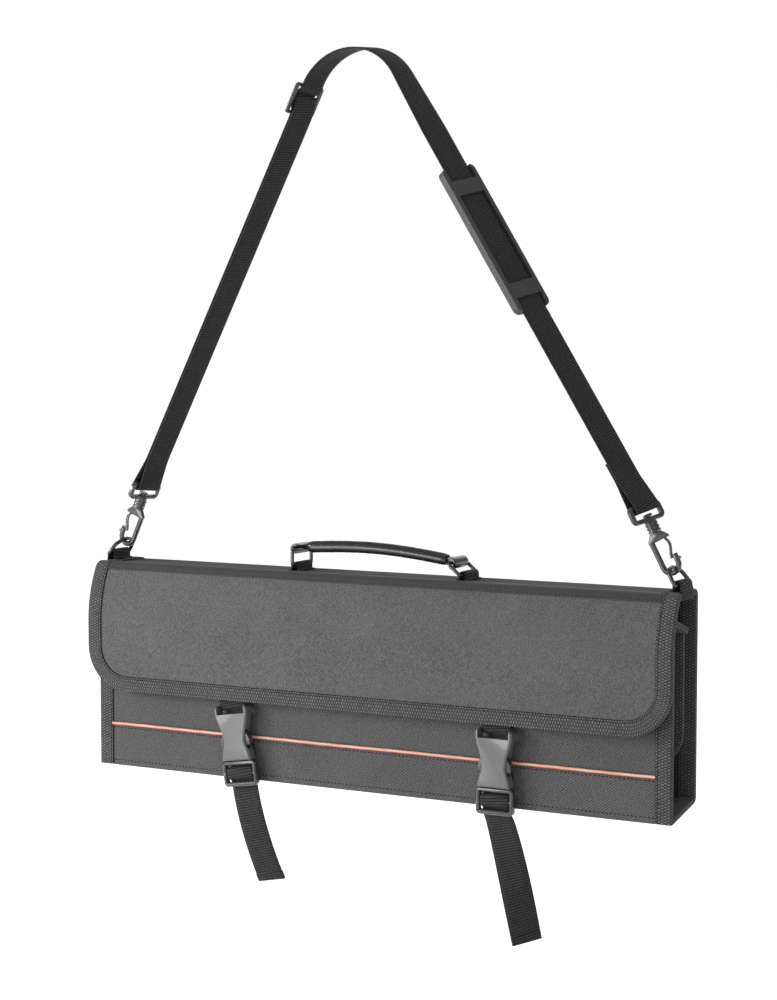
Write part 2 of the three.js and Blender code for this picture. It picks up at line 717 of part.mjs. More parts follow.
// The front panel: a sloping roof inside the case, a fold, then the front down to the hinge edge.
const roofSlope = Math.atan2(ROOF_DROP, ROOF_DEPTH);
const frontReach = SHELL_CORNER_RADIUS * Math.tan((Math.PI / 2 + roofSlope) / 2);
const frontPath = new StripPath(FRONT_Y + ROOF_DEPTH, FRONT_HEIGHT - ROOF_DROP, -roofSlope);
const roofEnd = frontPath.line(Math.hypot(ROOF_DEPTH, ROOF_DROP) - frontReach).end.s;
const frontStart = frontPath.bend(SHELL_CORNER_RADIUS, DOWN).end.s;
const frontEnd = frontPath.line(FRONT_HEIGHT - frontReach).end.s;

function addFrontPanel() {
  const boardHalf = HALF_LENGTH - BOARD_INSET;
  const slit = PIPING_DIAMETER / 2 + SEAT_GAP;
  const pipingPlace = frontEnd - PIPING_HEIGHT;
  const upper = cloth(frontPath, 0, pipingPlace - slit, HALF_LENGTH);
  const lower = cloth(frontPath, pipingPlace + slit, frontEnd, HALF_LENGTH);
  add("front_cloth", upper, CLOTH_GREY);
  add("front_lower_cloth", lower, CLOTH_GREY);
  add("front_lining", lining(frontPath, 0, frontEnd, HALF_LENGTH), LINING_GREY);
  add("roof_board", board(frontPath, BOARD_INSET, roofEnd, boardHalf), BOARD_BROWN);
  const frontBoard = board(frontPath, frontStart, frontEnd - BOARD_INSET, boardHalf);
  add("front_board", frontBoard, BOARD_BROWN);
  const pipingY = FRONT_Y + CLOTH_THICKNESS - PIPING_DIAMETER / 2 - SEAT_GAP;
  const pipingHalf = HALF_LENGTH - TAPE_COVER - SEAT_GAP;
  const pipingLine = [
    [-pipingHalf, PIPING_HEIGHT],
    [pipingHalf, PIPING_HEIGHT],
  ];
  const pipingFrame = at(FRAME_XZ, vec(0, pipingY, 0));
  const piping = sweep(roundSection(PIPING_DIAMETER, PIPING_SIDES), pipingLine, pipingFrame);
  add("piping", piping, PIPING_ORANGE);
  for (const [name, side] of [
    ["left", -1],
    ["right", 1],
  ]) {
    const tape = sideBinding(frontPath, 0, frontEnd, HALF_LENGTH, side, PANEL_THICKNESS);
    add("front_binding_" + name, tape, TAPE_GREY);
  }
}

// The inner flap hangs from the roof's back edge, its cloth on the side that faces the back.
function addInnerFlap() {
  const top = FRONT_HEIGHT - ROOF_DROP - PANEL_THICKNESS - BINDING_PROUD - PANEL_END_GAP;
  const path = new StripPath(FRONT_Y + ROOF_DEPTH - INNER_FLAP_SET_BACK, top, DOWN);
  const end = path.line(INNER_FLAP_LENGTH).end.s;
  const halfLength = HALF_LENGTH - INNER_FLAP_INSET;
  const radius = INNER_FLAP_CORNER_RADIUS;
  const half = roundedHalf(halfLength, end, radius);
  const stops = roundedStops(path, 0, end, radius);
  const liningSheet = layer(path, 0, end, half, 0, LINING_THICKNESS, stops);
  const clothSheet = layer(path, 0, end, half, LINING_THICKNESS, INNER_FLAP_THICKNESS, stops);
  const tape = loopBinding(path, 0, end, halfLength, radius, INNER_FLAP_THICKNESS);
  add("inner_flap_lining", liningSheet, LINING_GREY);
  add("inner_flap_cloth", clothSheet, CLOTH_GREY);
  add("inner_flap_binding", tape, TAPE_GREY);
}

addShell();
add("elastic_low", elasticBand(ELASTIC_LOW_HEIGHT), WEBBING_BLACK);
add("elastic_high", elasticBand(ELASTIC_HIGH_HEIGHT), WEBBING_BLACK);
addFlap();
addFrontPanel();
addInnerFlap();

// Turned groups: z points along an axis, x across it, y follows from both.
function turned(origin, across, axis) {
  const group = new THREE.Group();
  group.matrix.makeBasis(across, axis.clone().cross(across), axis).setPosition(origin);
  group.matrixAutoUpdate = false;
  model.add(group);
  return group;
}

const leanIn = (lean, side) => vec(-side * Math.sin(lean), 0, Math.cos(lean));
const leanOut = (lean, side) => vec(side * Math.cos(lean), 0, Math.sin(lean));
const SIDES = [
  ["left", -1],
  ["right", 1],
];

// Handle: rectangular rings, omega tabs over their lower bars, a strap and a vinyl tube.

function ringTab(x) {
  const foot = TOP_HEIGHT + SEAT_GAP + TAB_THICKNESS / 2;
  const radius = RING_WIRE / 2 + RING_TAB_CLEARANCE + TAB_THICKNESS / 2;
  const points = [
    [x - RING_TAB_FOOT, foot],
    [x - radius, foot],
    ...arc([x, RING_PIVOT_HEIGHT], radius, Math.PI, 0),
    [x + radius, foot],
    [x + RING_TAB_FOOT, foot],
  ];
  return strip(points, TAB_THICKNESS, RING_TAB_WIDTH, FRAME_XZ);
}

function handleRing() {
  const shape = roundedRectangle(RING_HALF_WIDTH, 0, RING_HEIGHT, RING_CORNER);
  const points = distinct(shape.getPoints(3).map(({ x, y }) => [x, y]));
  const frame = { origin: vec(0, 0, 0), a: vec(0, 1, 0), b: vec(0, 0, 1), width: vec(1, 0, 0) };
  return sweep(roundSection(RING_WIRE), points, frame, true);
}

const leftBar = vec(LEFT_RING_X, 0, RING_PIVOT_HEIGHT + RING_HEIGHT);
const rightBar = vec(RIGHT_RING_X, 0, RING_PIVOT_HEIGHT).addScaledVector(
  leanIn(RIGHT_RING_LEAN, 1),
  RING_HEIGHT,
);
const handleSpan = rightBar.clone().sub(leftBar);
const handleLength = handleSpan.length();
const handleAlong = handleSpan.clone().normalize();
const HANDLE_FRAME = {
  origin: leftBar,
  a: handleAlong,
  b: vec(0, 1, 0).cross(handleAlong).negate(),
  width: vec(0, 1, 0),
};

// the grip's middle line: [distance from the left bar, rise over the line between the bars]
function gripPoint(share, wrapRise) {
  const bow = Math.sin(Math.PI * share);
  return [handleLength * share, wrapRise + (HANDLE_RISE - wrapRise) * bow];
}

function handleStrap() {
  const half = HANDLE_STRAP_THICKNESS / 2;
  const leftRadius = RING_WIRE / 2 + RING_TAB_CLEARANCE + half;
  const rightRadius = RING_WIRE / 2 + OPEN_PIVOT_CLEARANCE + half;
  const leftWrap = arc([0, 0], leftRadius, 1.5 * Math.PI, Math.PI / 2);
  const rightWrap = arc([handleLength, 0], rightRadius, Math.PI / 2, -Math.PI / 2);
  const from = HANDLE_TUBE_INSET - HANDLE_NARROWING;
  const inner = [from, HANDLE_TUBE_INSET].map((d) => d / handleLength);
  const shares = [...inner];
  for (let i = 1; i < HANDLE_STEPS; i++)
    shares.push(lerp(inner[1], 1 - inner[1], i / HANDLE_STEPS));
  shares.push(1 - inner[1], 1 - inner[0]);
  const middle = shares.map((share) => gripPoint(share, leftRadius));
  const line = [...leftWrap, ...middle, ...rightWrap];
  const stations = stationsOf(line, HANDLE_FRAME);
  const lastFlat = stations.length - rightWrap.length;
  const sides = 12;
  const section = Array.from({ length: sides }, (_, i) => {
    const angle = (2 * Math.PI * (i + 1 / 2)) / sides;
    return [Math.cos(angle), Math.sin(angle)];
  });
  const flatPower = 0.3;
  const power = (value, exponent) => Math.sign(value) * Math.abs(value) ** exponent;
  return loft(
    section,
    stations.map(({ centre, across, normal }, i) => {
      const flat = i <= leftWrap.length || i >= lastFlat - 1;
      const exponent = flat ? flatPower : 1;
      const halfWidth = (flat ? HANDLE_STRAP_WIDTH : HANDLE_CORE_DIAMETER) / 2;
      const halfDepth = flat ? half : HANDLE_CORE_DIAMETER / 2;
      return (u, v) =>
        centre
          .clone()
          .addScaledVector(across, power(u, exponent) * halfWidth)
          .addScaledVector(normal, power(v, exponent) * halfDepth);
    }),
  );
}

function handleTube() {
  const rise = RING_WIRE / 2 + RING_TAB_CLEARANCE + HANDLE_STRAP_THICKNESS / 2;
  const tubeLine = (inset) => {
    const inner = (HANDLE_TUBE_INSET - inset) / handleLength;
    return Array.from({ length: HANDLE_STEPS + 1 }, (_, i) =>
      gripPoint(lerp(inner, 1 - inner, i / HANDLE_STEPS), rise),
    );
  };
  const outer = sweep(roundSection(HANDLE_TUBE_DIAMETER, 14), tubeLine(0), HANDLE_FRAME);
  const bore = sweep(roundSection(HANDLE_TUBE_BORE, 12), tubeLine(CUT_OVERRUN), HANDLE_FRAME);
  const line = tubeLine(0).slice(2, -2);
  const drop = (HANDLE_TUBE_DIAMETER + HANDLE_TUBE_BORE) / 4 + HANDLE_FIN / 2;
  const finLine = line.map(([a, b]) => [a, b - drop]);
  const fin = strip(finLine, HANDLE_FIN, HANDLE_FIN_THICKNESS, HANDLE_FRAME);
  return cutFrom(joined(outer, fin), bore);
}

function addHandle() {
  for (const [name, x, lean] of [
    ["left", LEFT_RING_X, 0],
    ["right", RIGHT_RING_X, RIGHT_RING_LEAN],
  ]) {
    add("handle_tab_" + name, ringTab(x), WEBBING_BLACK);
    const place = vec(x, 0, RING_PIVOT_HEIGHT);
    const group = turned(place, leanOut(lean, 1), leanIn(lean, 1));
    add("handle_ring_" + name, handleRing(), WIRE_METAL, group);
  }
  add("handle_strap", handleStrap(), VINYL_BLACK);
  add("handle_tube", handleTube(), VINYL_BLACK);
}

// D-rings: the arch sits in the hook's bend, the straight bar lies in a tab over the case's end.

const ringLift = HOOK_WIRE / 2 + HOOK_RING_CLEARANCE + DRING_WIRE / 2;
const hookLean = (side) => (side < 0 ? LEFT_HOOK_LEAN : RIGHT_HOOK_LEAN);
const hookPivot = (side) => vec(side * HOOK_PIVOT_X, 0, HOOK_PIVOT_HEIGHT);
const ringTop = (side) =>
  hookPivot(side).addScaledVector(leanIn(hookLean(side), side), ringLift);
const ringBar = (side) =>
  ringTop(side).addScaledVector(leanIn(DRING_LEAN, side), -DRING_HEIGHT);

function dRing() {
  const arch = arc([0, 0], 1, 0, Math.PI);
  const rise = DRING_HEIGHT - DRING_SIDE;
  const points = [
    [-DRING_HALF_WIDTH, 0],
    [DRING_HALF_WIDTH, 0],
    ...arch.map(([a, b]) => [a * DRING_HALF_WIDTH, DRING_SIDE + b * rise]),
  ];
  const frame = { origin: vec(0, 0, 0), a: vec(0, 1, 0), b: vec(0, 0, 1), width: vec(1, 0, 0) };
  return sweep(roundSection(DRING_WIRE), points, frame, true);
}

function dRingTab(side) {
  const bar = ringBar(side);
  const reach = side * bar.x;
  const half = TAB_THICKNESS / 2;
  const top = TOP_HEIGHT + BINDING_PROUD + SEAT_GAP + half;
  const radius = DRING_WIRE / 2 + DRING_TAB_CLEARANCE + half;
  const end = HALF_LENGTH + BINDING_PROUD + SEAT_GAP + half;
  const points = [
    [HALF_LENGTH - DRING_TAB_SEAM, top],
    [reach - radius, top],
    ...arc([reach, bar.z], radius, Math.PI, 0),
    [Math.max(end, reach + radius), top],
    [Math.max(end, reach + radius), DRING_TAB_DROP],
  ];
  const frame = { origin: vec(0, 0, 0), a: vec(side, 0, 0), b: vec(0, 0, 1), width: vec(0, 1, 0) };
  return strip(points, TAB_THICKNESS, WEBBING_WIDTH - 1, frame);
}

// Snap hook along its shank: wire bend, shoulder, shank with a head; the gate and the swivel base.

const barrelStart = HOOK_NECK_HEIGHT + SHANK_CLEARANCE;
const crossStart = barrelStart + BARREL_LENGTH;
const windowStart = crossStart + CROSS_PIECE;
const windowEnd = windowStart + BASE_WINDOW;
const baseEnd = windowEnd + BASE_BAR;
const baseBarHeight = windowEnd + BASE_BAR / 2;

function cylinder(diameter, from, to, sides = 16) {
  const geometry = new THREE.CylinderGeometry(diameter / 2, diameter / 2, to - from, sides);
  return geometry.rotateX(Math.PI / 2).translate(0, 0, (from + to) / 2);
}

function snapHook() {
  const radius = HOOK_BEND_RADIUS;
  const half = HOOK_WIRE / 2;
  const line = [
    [-radius, HOOK_SHOULDER_HEIGHT + HOOK_WIRE / 4],
    ...arc([0, radius], radius, Math.PI, 2 * Math.PI, 1.5 * ROUND_STEP),
    [radius, HOOK_NOSE_HEIGHT],
  ];
  const wire = chamferedSection(HOOK_DEPTH, HOOK_WIRE, HOOK_WIRE_CHAMFER);
  const bend = sweep(wire, line, FRAME_XZ);
  const shoulder = new THREE.Shape([
    new THREE.Vector2(-radius - half, HOOK_SHOULDER_HEIGHT),
    new THREE.Vector2(radius + half, HOOK_SHOULDER_HEIGHT),
    new THREE.Vector2(radius + half, HOOK_SHOULDER_HEIGHT + half),
    new THREE.Vector2(BARREL_WAIST / 2, HOOK_NECK_HEIGHT),
    new THREE.Vector2(-BARREL_WAIST / 2, HOOK_NECK_HEIGHT),
    new THREE.Vector2(-radius - half, HOOK_SHOULDER_HEIGHT + half),
  ]);
  const headStart = windowStart + SHANK_CLEARANCE;
  const shank = cylinder(SHANK_DIAMETER, HOOK_SHOULDER_HEIGHT + half, headStart + SHANK_CLEARANCE);
  const head = cylinder(SHANK_HEAD_DIAMETER, headStart, headStart + SHANK_HEAD_HEIGHT);
  const barb = block(half, HOOK_DEPTH - HOOK_WIRE_CHAMFER, half, radius + half, 0, radius + half);
  return joined(bend, plate(shoulder, HOOK_DEPTH, HOOK_WIRE_CHAMFER / 2), shank, head, barb);
}

function hookGate() {
  const outside = HOOK_BEND_RADIUS + HOOK_WIRE / 2 - HOOK_WIRE_CHAMFER;
  const nose = HOOK_BEND_RADIUS - HOOK_WIRE / 2 - SEAT_GAP;
  const top = HOOK_SHOULDER_HEIGHT - SEAT_GAP;
  const half = GATE_THICKNESS / 2;
  const line = [
    [outside - half, top],
    [outside - half, lerp(top, HOOK_NOSE_HEIGHT, 0.5)],
    [nose - half, HOOK_NOSE_HEIGHT + GATE_THICKNESS],
    [nose - half, GATE_TIP_HEIGHT],
  ];
  return strip(line, GATE_THICKNESS, HOOK_DEPTH - HOOK_WIRE_CHAMFER, FRAME_XZ);
}

function hookBase() {
  const radius = (baseEnd - crossStart) / 3;
  const outline = roundedRectangle(BASE_HALF_WIDTH, crossStart, baseEnd, radius);
  const hole = roundedRectangle(BASE_SLOT_HALF, windowStart, windowEnd, SEAT_GAP, THREE.Path);
  const body = plate(outline, BASE_DEPTH, BASE_EDGE_ROUND, [hole]);
  const rib = BARREL_LENGTH / 6;
  const barrel = cylinder(BARREL_WAIST, barrelStart, crossStart + CROSS_PIECE / 2, 20);
  const ribs = [0, 2, 4].map((i) =>
    cylinder(BARREL_DIAMETER, barrelStart + i * rib, barrelStart + (i + 1) * rib, 20),
  );
  const bore = cylinder(
    SHANK_DIAMETER + 2 * SHANK_CLEARANCE,
    barrelStart - CUT_OVERRUN,
    windowStart + CUT_OVERRUN,
  );
  return cutFrom(joined(body, barrel, ...ribs), bore);
}

// Shoulder strap: tangents from the two hook bars to the bend over the hang point.

const UNIT_Y = vec(0, 1, 0);
const layerHalf = (WEBBING_THICKNESS + SEAT_GAP) / 2; // from a doubled strap's middle to one layer
const barWrap = Math.hypot(BASE_BAR, BASE_DEPTH) / 2 + SEAT_GAP + WEBBING_THICKNESS / 2;

// One leg: origin at the hook bar, along points away from the hook, and n points outwards.
function strapLeg(side, topRadius, tilt) {
  const bar = hookPivot(side).addScaledVector(leanIn(hookLean(side), side), baseBarHeight);
  const centre = vec(HANG_X, 0, HANG_HEIGHT - topRadius);
  const across = side * (bar.x - centre.x);
  const rise = centre.z - bar.z;
  const reach = Math.hypot(across, rise);
  const lean = Math.atan2(across, rise) - Math.asin((topRadius - layerHalf) / reach);
  const length = Math.sqrt(reach ** 2 - (topRadius - layerHalf) ** 2);
  const up = leanIn(lean, side);
  const travel = up.clone().multiplyScalar(-side);
  const flatNormal = travel.clone().cross(UNIT_Y);
  const width = UNIT_Y.clone().multiplyScalar(Math.cos(tilt));
  width.addScaledVector(flatNormal, Math.sin(tilt));
  const normal = travel.clone().cross(width);
  return { bar, centre, topRadius, lean, length, up, travel, width, normal, tilt };
}
const leftLeg = strapLeg(-1, LEFT_TOP_RADIUS, LEFT_STRAP_TILT);
const rightLeg = strapLeg(1, RIGHT_TOP_RADIUS, RIGHT_STRAP_TILT);
const legFrame = (leg) => ({
  origin: leg.bar,
  a: leg.travel,
  b: leg.normal,
  width: leg.width,
});

// Slider places along the left leg, all from the bottom of its lower end bar.
const SLIDER_LENGTH = 3 * SLIDER_BAR + 2 * SLIDER_SLOT;
const sliderEnd = leftLeg.length - SLIDER_DISTANCE;
const sliderStart = sliderEnd - SLIDER_LENGTH;
const midBarStart = sliderStart + SLIDER_BAR + SLIDER_SLOT;
const midBarEnd = midBarStart + SLIDER_BAR;
const underBar = (SLIDER_THICKNESS + WEBBING_THICKNESS) / 2 + SEAT_GAP;
const sliderPlane = layerHalf + underBar;

function shoulderWebbing() {
  const layerStep = WEBBING_THICKNESS + SEAT_GAP;
  const spread = STRAP_SPREAD_LENGTH;
  const overLoop = sliderPlane + underBar + layerStep;
  const bend = SEAT_GAP + SLIDER_SLOT / 20;
  const inward = -layerHalf;
  // left leg, [distance from the hook bar, n]: loop round the slider's middle bar, down the inner
  // layer, round the hook bar, up the outer layer and through the slider
  const loopCentre = [midBarEnd - SEAT_GAP, sliderPlane];
  const left = [
    [midBarEnd - SLIDER_BAR / 2, sliderPlane + underBar],
    ...arc(loopCentre, underBar, Math.PI / 2, -Math.PI / 2),
    [midBarStart, sliderPlane - underBar],
    [sliderStart + SLIDER_BAR, inward],
    [spread, inward],
    ...arc([0, 0], barWrap, 1.5 * Math.PI, Math.PI / 2),
    [spread, layerHalf],
    [sliderStart + SLIDER_BAR + bend, layerHalf],
    [midBarStart, overLoop],
    [midBarEnd + bend, overLoop],
    [sliderEnd - SLIDER_BAR - bend, layerHalf],
    [sliderEnd, layerHalf],
  ];
  const stations = stationsOf(left, legFrame(leftLeg));
  // the bend over the hang point and the twist into the right leg
  const start = leftLeg.lean;
  const end = Math.PI - rightLeg.lean;
  const arcLengths = [
    (Math.PI / 2 - start) * LEFT_TOP_RADIUS,
    (end - Math.PI / 2) * RIGHT_TOP_RADIUS + STRAP_TWIST_LENGTH,
  ];
  const station = (centre, travel, tilt) => {
    const flat = travel.clone().cross(UNIT_Y);
    const across = UNIT_Y.clone().multiplyScalar(Math.cos(tilt));
    across.addScaledVector(flat, Math.sin(tilt));
    return { centre, across, normal: travel.clone().cross(across) };
  };
  const bendStation = (angle, leg, tilt) => {
    const travel = vec(Math.sin(angle), 0, Math.cos(angle));
    const centre = leg.centre.clone();
    centre.addScaledVector(travel.clone().cross(UNIT_Y), leg.topRadius);
    return station(centre, travel, tilt);
  };
  for (let i = 1; i <= STRAP_BEND_STEPS; i++) {
    const share = i / STRAP_BEND_STEPS;
    const tilt = lerp(LEFT_STRAP_TILT, TOP_STRAP_TILT, share);
    stations.push(bendStation(lerp(start, Math.PI / 2, share), leftLeg, tilt));
  }
  for (let i = 1; i <= STRAP_BEND_STEPS; i++) {
    const share = i / STRAP_BEND_STEPS;
    const done = (share * (arcLengths[1] - STRAP_TWIST_LENGTH)) / arcLengths[1];
    const tilt = lerp(TOP_STRAP_TILT, RIGHT_STRAP_TILT, done);
    stations.push(bendStation(lerp(Math.PI / 2, end, share), rightLeg, tilt));
  }
  const tangent = stations[stations.length - 1].centre;
  for (const share of [1 / 2, 1]) {
    const along = STRAP_TWIST_LENGTH * share;
    const done = (arcLengths[1] - STRAP_TWIST_LENGTH + along) / arcLengths[1];
    const centre = tangent.clone().addScaledVector(rightLeg.travel, along);
    stations.push(station(centre, rightLeg.travel, lerp(TOP_STRAP_TILT, RIGHT_STRAP_TILT, done)));
  }
  // right leg, [distance past the hook bar, n]: down to the hook, round its bar and a sewn return
  const right = [
    [-spread - RIGHT_HEM_LENGTH, layerHalf],
    [-spread, layerHalf],
    ...arc([0, 0], barWrap, Math.PI / 2, -Math.PI / 2),
    [-spread, inward],
    [-spread - RIGHT_HEM_LENGTH, inward],
  ];
  stations.push(...stationsOf(right, legFrame(rightLeg)));
  return sweepStations(flatSection(WEBBING_WIDTH, WEBBING_THICKNESS), stations);
}

function strapSlider() {
  const outline = roundedRectangle(SLIDER_HALF_WIDTH, 0, SLIDER_LENGTH, SLIDER_BAR);
  const slots = [SLIDER_BAR, 2 * SLIDER_BAR + SLIDER_SLOT].map((low) =>
    roundedRectangle(SLIDER_SLOT_HALF, low, low + SLIDER_SLOT, SEAT_GAP, THREE.Path),
  );
  return plate(outline, SLIDER_THICKNESS, SLIDER_EDGE_ROUND, slots);
}

// The pad lies under the webbing; its rails and two bridges keep it on the strap.
function shoulderPad() {
  const halfWeb = WEBBING_THICKNESS / 2 + PAD_CLEARANCE;
  const front = -halfWeb - PAD_BRIDGE;
  const back = halfWeb + PAD_BASE;
  const outline = roundedRectangle(PAD_WIDTH / 2, 0, PAD_LENGTH, PAD_CORNER);
  const body = plate(outline, back - front, SLIDER_EDGE_ROUND).translate(0, (front + back) / 2, 0);
  const width = 2 * PAD_RAIL_HALF_INNER;
  const over = PAD_LENGTH + 2 * CUT_OVERRUN;
  const channel = block(width, 2 * halfWeb, over, 0, 0, PAD_LENGTH / 2);
  const depth = PAD_BRIDGE + halfWeb + CUT_OVERRUN;
  const window = (from, to) => block(width, depth, to - from, 0, -depth / 2, (from + to) / 2);
  const bridgeEnd = PAD_BRIDGE_INSET + PAD_BRIDGE_LENGTH;
  return cutFrom(
    body,
    channel,
    window(-CUT_OVERRUN, PAD_BRIDGE_INSET),
    window(bridgeEnd, PAD_LENGTH - bridgeEnd),
    window(PAD_LENGTH - PAD_BRIDGE_INSET, PAD_LENGTH + CUT_OVERRUN),
  );
}

function addStrap() {
  add("shoulder_webbing", shoulderWebbing(), WEBBING_BLACK);
  for (const [name, side] of SIDES) {
    const lean = hookLean(side);
    const axis = leanIn(lean, side);
    const hookGroup = turned(hookPivot(side), leanOut(lean, side), axis);
    add("hook_" + name, snapHook(), HOOK_PLASTIC, hookGroup);
    add("gate_" + name, hookGate(), HOOK_PLASTIC, hookGroup);
    const leg = side < 0 ? leftLeg : rightLeg;
    const across = leg.width.clone().addScaledVector(axis, -leg.width.dot(axis)).normalize();
    const baseGroup = turned(hookPivot(side), across, axis);
    add("hook_base_" + name, hookBase(), HOOK_PLASTIC, baseGroup);
    add("dring_tab_" + name, dRingTab(side), WEBBING_BLACK);
    const ringGroup = turned(ringBar(side), leanOut(DRING_LEAN, side), leanIn(DRING_LEAN, side));
    add("dring_" + name, dRing(), WIRE_METAL, ringGroup);
  }
  const sliderPlace = leftLeg.bar.clone().addScaledVector(leftLeg.up, sliderStart);
  sliderPlace.addScaledVector(leftLeg.normal, sliderPlane);
  const sliderGroup = turned(sliderPlace, leftLeg.width, leftLeg.up);
  add("strap_slider", strapSlider(), PLASTIC_GREY, sliderGroup);
  const padTop = rightLeg.bar.clone().addScaledVector(rightLeg.up, rightLeg.length - PAD_DISTANCE);
  padTop.addScaledVector(rightLeg.up, -PAD_LENGTH).addScaledVector(rightLeg.normal, layerHalf);
  const padGroup = turned(padTop, rightLeg.width, rightLeg.up);
  add("shoulder_pad", shoulderPad(), RUBBER_GREY, padGroup);
}

addHandle();
addStrap();

// Side-release buckle. Its frame has z up from the socket's mouth and y from its middle towards the
// case. The left one leans, and its tab and webbing lean with it.

const lerpPair = (from, to, [a, b]) => [lerp(from[0], to[0], a), lerp(from[1], to[1], b)];

function buckleSocket() {
  const mouth = [SOCKET_HALF_MOUTH, 0];
  const waist = [SOCKET_HALF_WAIST, SOCKET_WAIST_HEIGHT];
  const top = [SOCKET_HALF_TOP, SOCKET_LENGTH - SOCKET_BAR - SOCKET_SLOT];
  const side = [
    ...SOCKET_OUTLINE_SHARES.map((share) => lerpPair(mouth, waist, share)),
    ...SOCKET_OUTLINE_SHARES.slice(1).map(([a, b]) => lerpPair(waist, top, [a, b])),
    [SOCKET_HALF_TOP, SOCKET_LENGTH - SOCKET_BAR],
    [SOCKET_HALF_TOP - SOCKET_BAR, SOCKET_LENGTH],
  ];
  const mirrored = side.map(([x, z]) => [-x, z]).reverse();
  const outline = [...side, ...mirrored].map(([x, z]) => new THREE.Vector2(x, z));
  const body = plate(outline, SOCKET_THICKNESS, SOCKET_EDGE_ROUND);
  const cavityHeight = CAVITY_LENGTH + CUT_OVERRUN;
  const cavityMiddle = (CAVITY_LENGTH - CUT_OVERRUN) / 2;
  const cavityWidth = 2 * CAVITY_HALF_WIDTH;
  const cavity = block(cavityWidth, CAVITY_THICKNESS, cavityHeight, 0, 0, cavityMiddle);
  const [low, high] = SIDE_WINDOW_SHARES.map((share) => share * SOCKET_LENGTH);
  const windowWidth = 2 * (SOCKET_HALF_TOP + CUT_OVERRUN);
  const sides = block(windowWidth, CAVITY_THICKNESS, high - low, 0, 0, (low + high) / 2);
  const slotMiddle = SOCKET_LENGTH - SOCKET_BAR - SOCKET_SLOT / 2;
  const through = SOCKET_THICKNESS + 2 * CUT_OVERRUN;
  const slot = block(2 * SOCKET_SLOT_HALF, through, SOCKET_SLOT, 0, 0, slotMiddle);
  // the bar is thinner than the socket: cut in front of it and behind it
  const barWidth = 2 * SOCKET_SLOT_HALF;
  const barHeight = SOCKET_BAR + CUT_OVERRUN;
  const barMiddle = SOCKET_LENGTH - SOCKET_BAR + barHeight / 2;
  const front = SOCKET_BAR_SET_BACK - SOCKET_BAR_DEPTH / 2;
  const frontDepth = front + through / 2;
  const frontCut = block(barWidth, frontDepth, barHeight, 0, front - frontDepth / 2, barMiddle);
  const back = SOCKET_BAR_SET_BACK + SOCKET_BAR_DEPTH / 2;
  const backDepth = through / 2 - back;
  const backCut = block(barWidth, backDepth, barHeight, 0, back + backDepth / 2, barMiddle);
  return cutFrom(body, cavity, sides, slot, frontCut, backCut);
}

function bucklePlug() {
  const outline = roundedRectangle(PLUG_HALF_WIDTH, -PLUG_LENGTH, -SEAT_GAP, PLUG_END_BAR);
  const barEnd = PLUG_BAR_TOP + PLUG_BAR;
  const slots = [
    [-PLUG_BAR_TOP, -PLUG_SHOULDER],
    [PLUG_END_BAR - PLUG_LENGTH, -barEnd],
  ].map(([low, high]) => roundedRectangle(PLUG_SLOT_HALF, low, high, SEAT_GAP, THREE.Path));
  const body = plate(outline, PLUG_THICKNESS, PLUG_EDGE_ROUND, slots);
  const cutDepth = PLUG_THICKNESS / 2 + CUT_OVERRUN;
  const offset = (PLUG_BAR_DEPTH + cutDepth) / 2;
  const middle = -PLUG_BAR_TOP - PLUG_BAR / 2;
  const cutHeight = PLUG_BAR + CUT_OVERRUN;
  const front = block(2 * PLUG_SLOT_HALF, cutDepth, cutHeight, 0, -offset, middle);
  const back = block(2 * PLUG_SLOT_HALF, cutDepth, cutHeight, 0, offset, middle);
  return cutFrom(body, front, back);
}

function buckleProng(side) {
  const outline = PRONG_OUTLINE_SHARES.map(
    ([a, b]) => new THREE.Vector2(side * a * PRONG_PAD_HALF, b * PRONG_LENGTH),
  );
  return plate(outline, PRONG_THICKNESS, PRONG_EDGE_ROUND);
}

const buckleY = FRONT_Y - BUCKLE_STAND_OFF;

// The short tab: sewn inside the flap, past the flap's binding, round the socket's bar and back up.
function socketTab() {
  const half = TAB_THICKNESS / 2;
  const barHeight = SOCKET_LENGTH - SOCKET_BAR / 2;
  const radius = Math.hypot(SOCKET_BAR, SOCKET_BAR_DEPTH) / 2 + SEAT_GAP + half;
  const seam = FLAP_Y + PANEL_THICKNESS + SEAT_GAP + half - buckleY;
  const past = seam + BINDING_PROUD;
  const leanRise = (WEBBING_WIDTH / 2) * Math.sin(BUCKLE_LEFT_LEAN);
  const bindingTop = FLAP_BOTTOM_HEIGHT + TAPE_COVER + leanRise - BUCKLE_MOUTH_HEIGHT;
  const points = [
    [seam, SOCKET_TAB_TOP - BUCKLE_MOUTH_HEIGHT],
    [seam, bindingTop + 3 * TAB_THICKNESS],
    [past, bindingTop + TAB_THICKNESS],
    [past, barHeight + radius],
    ...arc([SOCKET_BAR_SET_BACK, barHeight], radius, Math.PI, 2 * Math.PI),
    [SOCKET_BAR_SET_BACK + radius, barHeight + 3 * radius],
  ];
  return strip(points, TAB_THICKNESS, WEBBING_WIDTH, FRAME_YZ);
}

// The anchor lies on the front; the tail piece starts at its end, passes over the plug's bar, behind
// its end bar, and hangs. Sweep is towards the case, drift sideways, and turn twists the end.
const anchorY = BUCKLE_STAND_OFF - SEAT_GAP - TAIL_THICKNESS / 2;

function closingAnchor() {
  const points = [
    [anchorY, ANCHOR_TOP - BUCKLE_MOUTH_HEIGHT],
    [anchorY, ANCHOR_BOTTOM - BUCKLE_MOUTH_HEIGHT],
  ];
  return strip(points, TAIL_THICKNESS, WEBBING_WIDTH, FRAME_YZ);
}

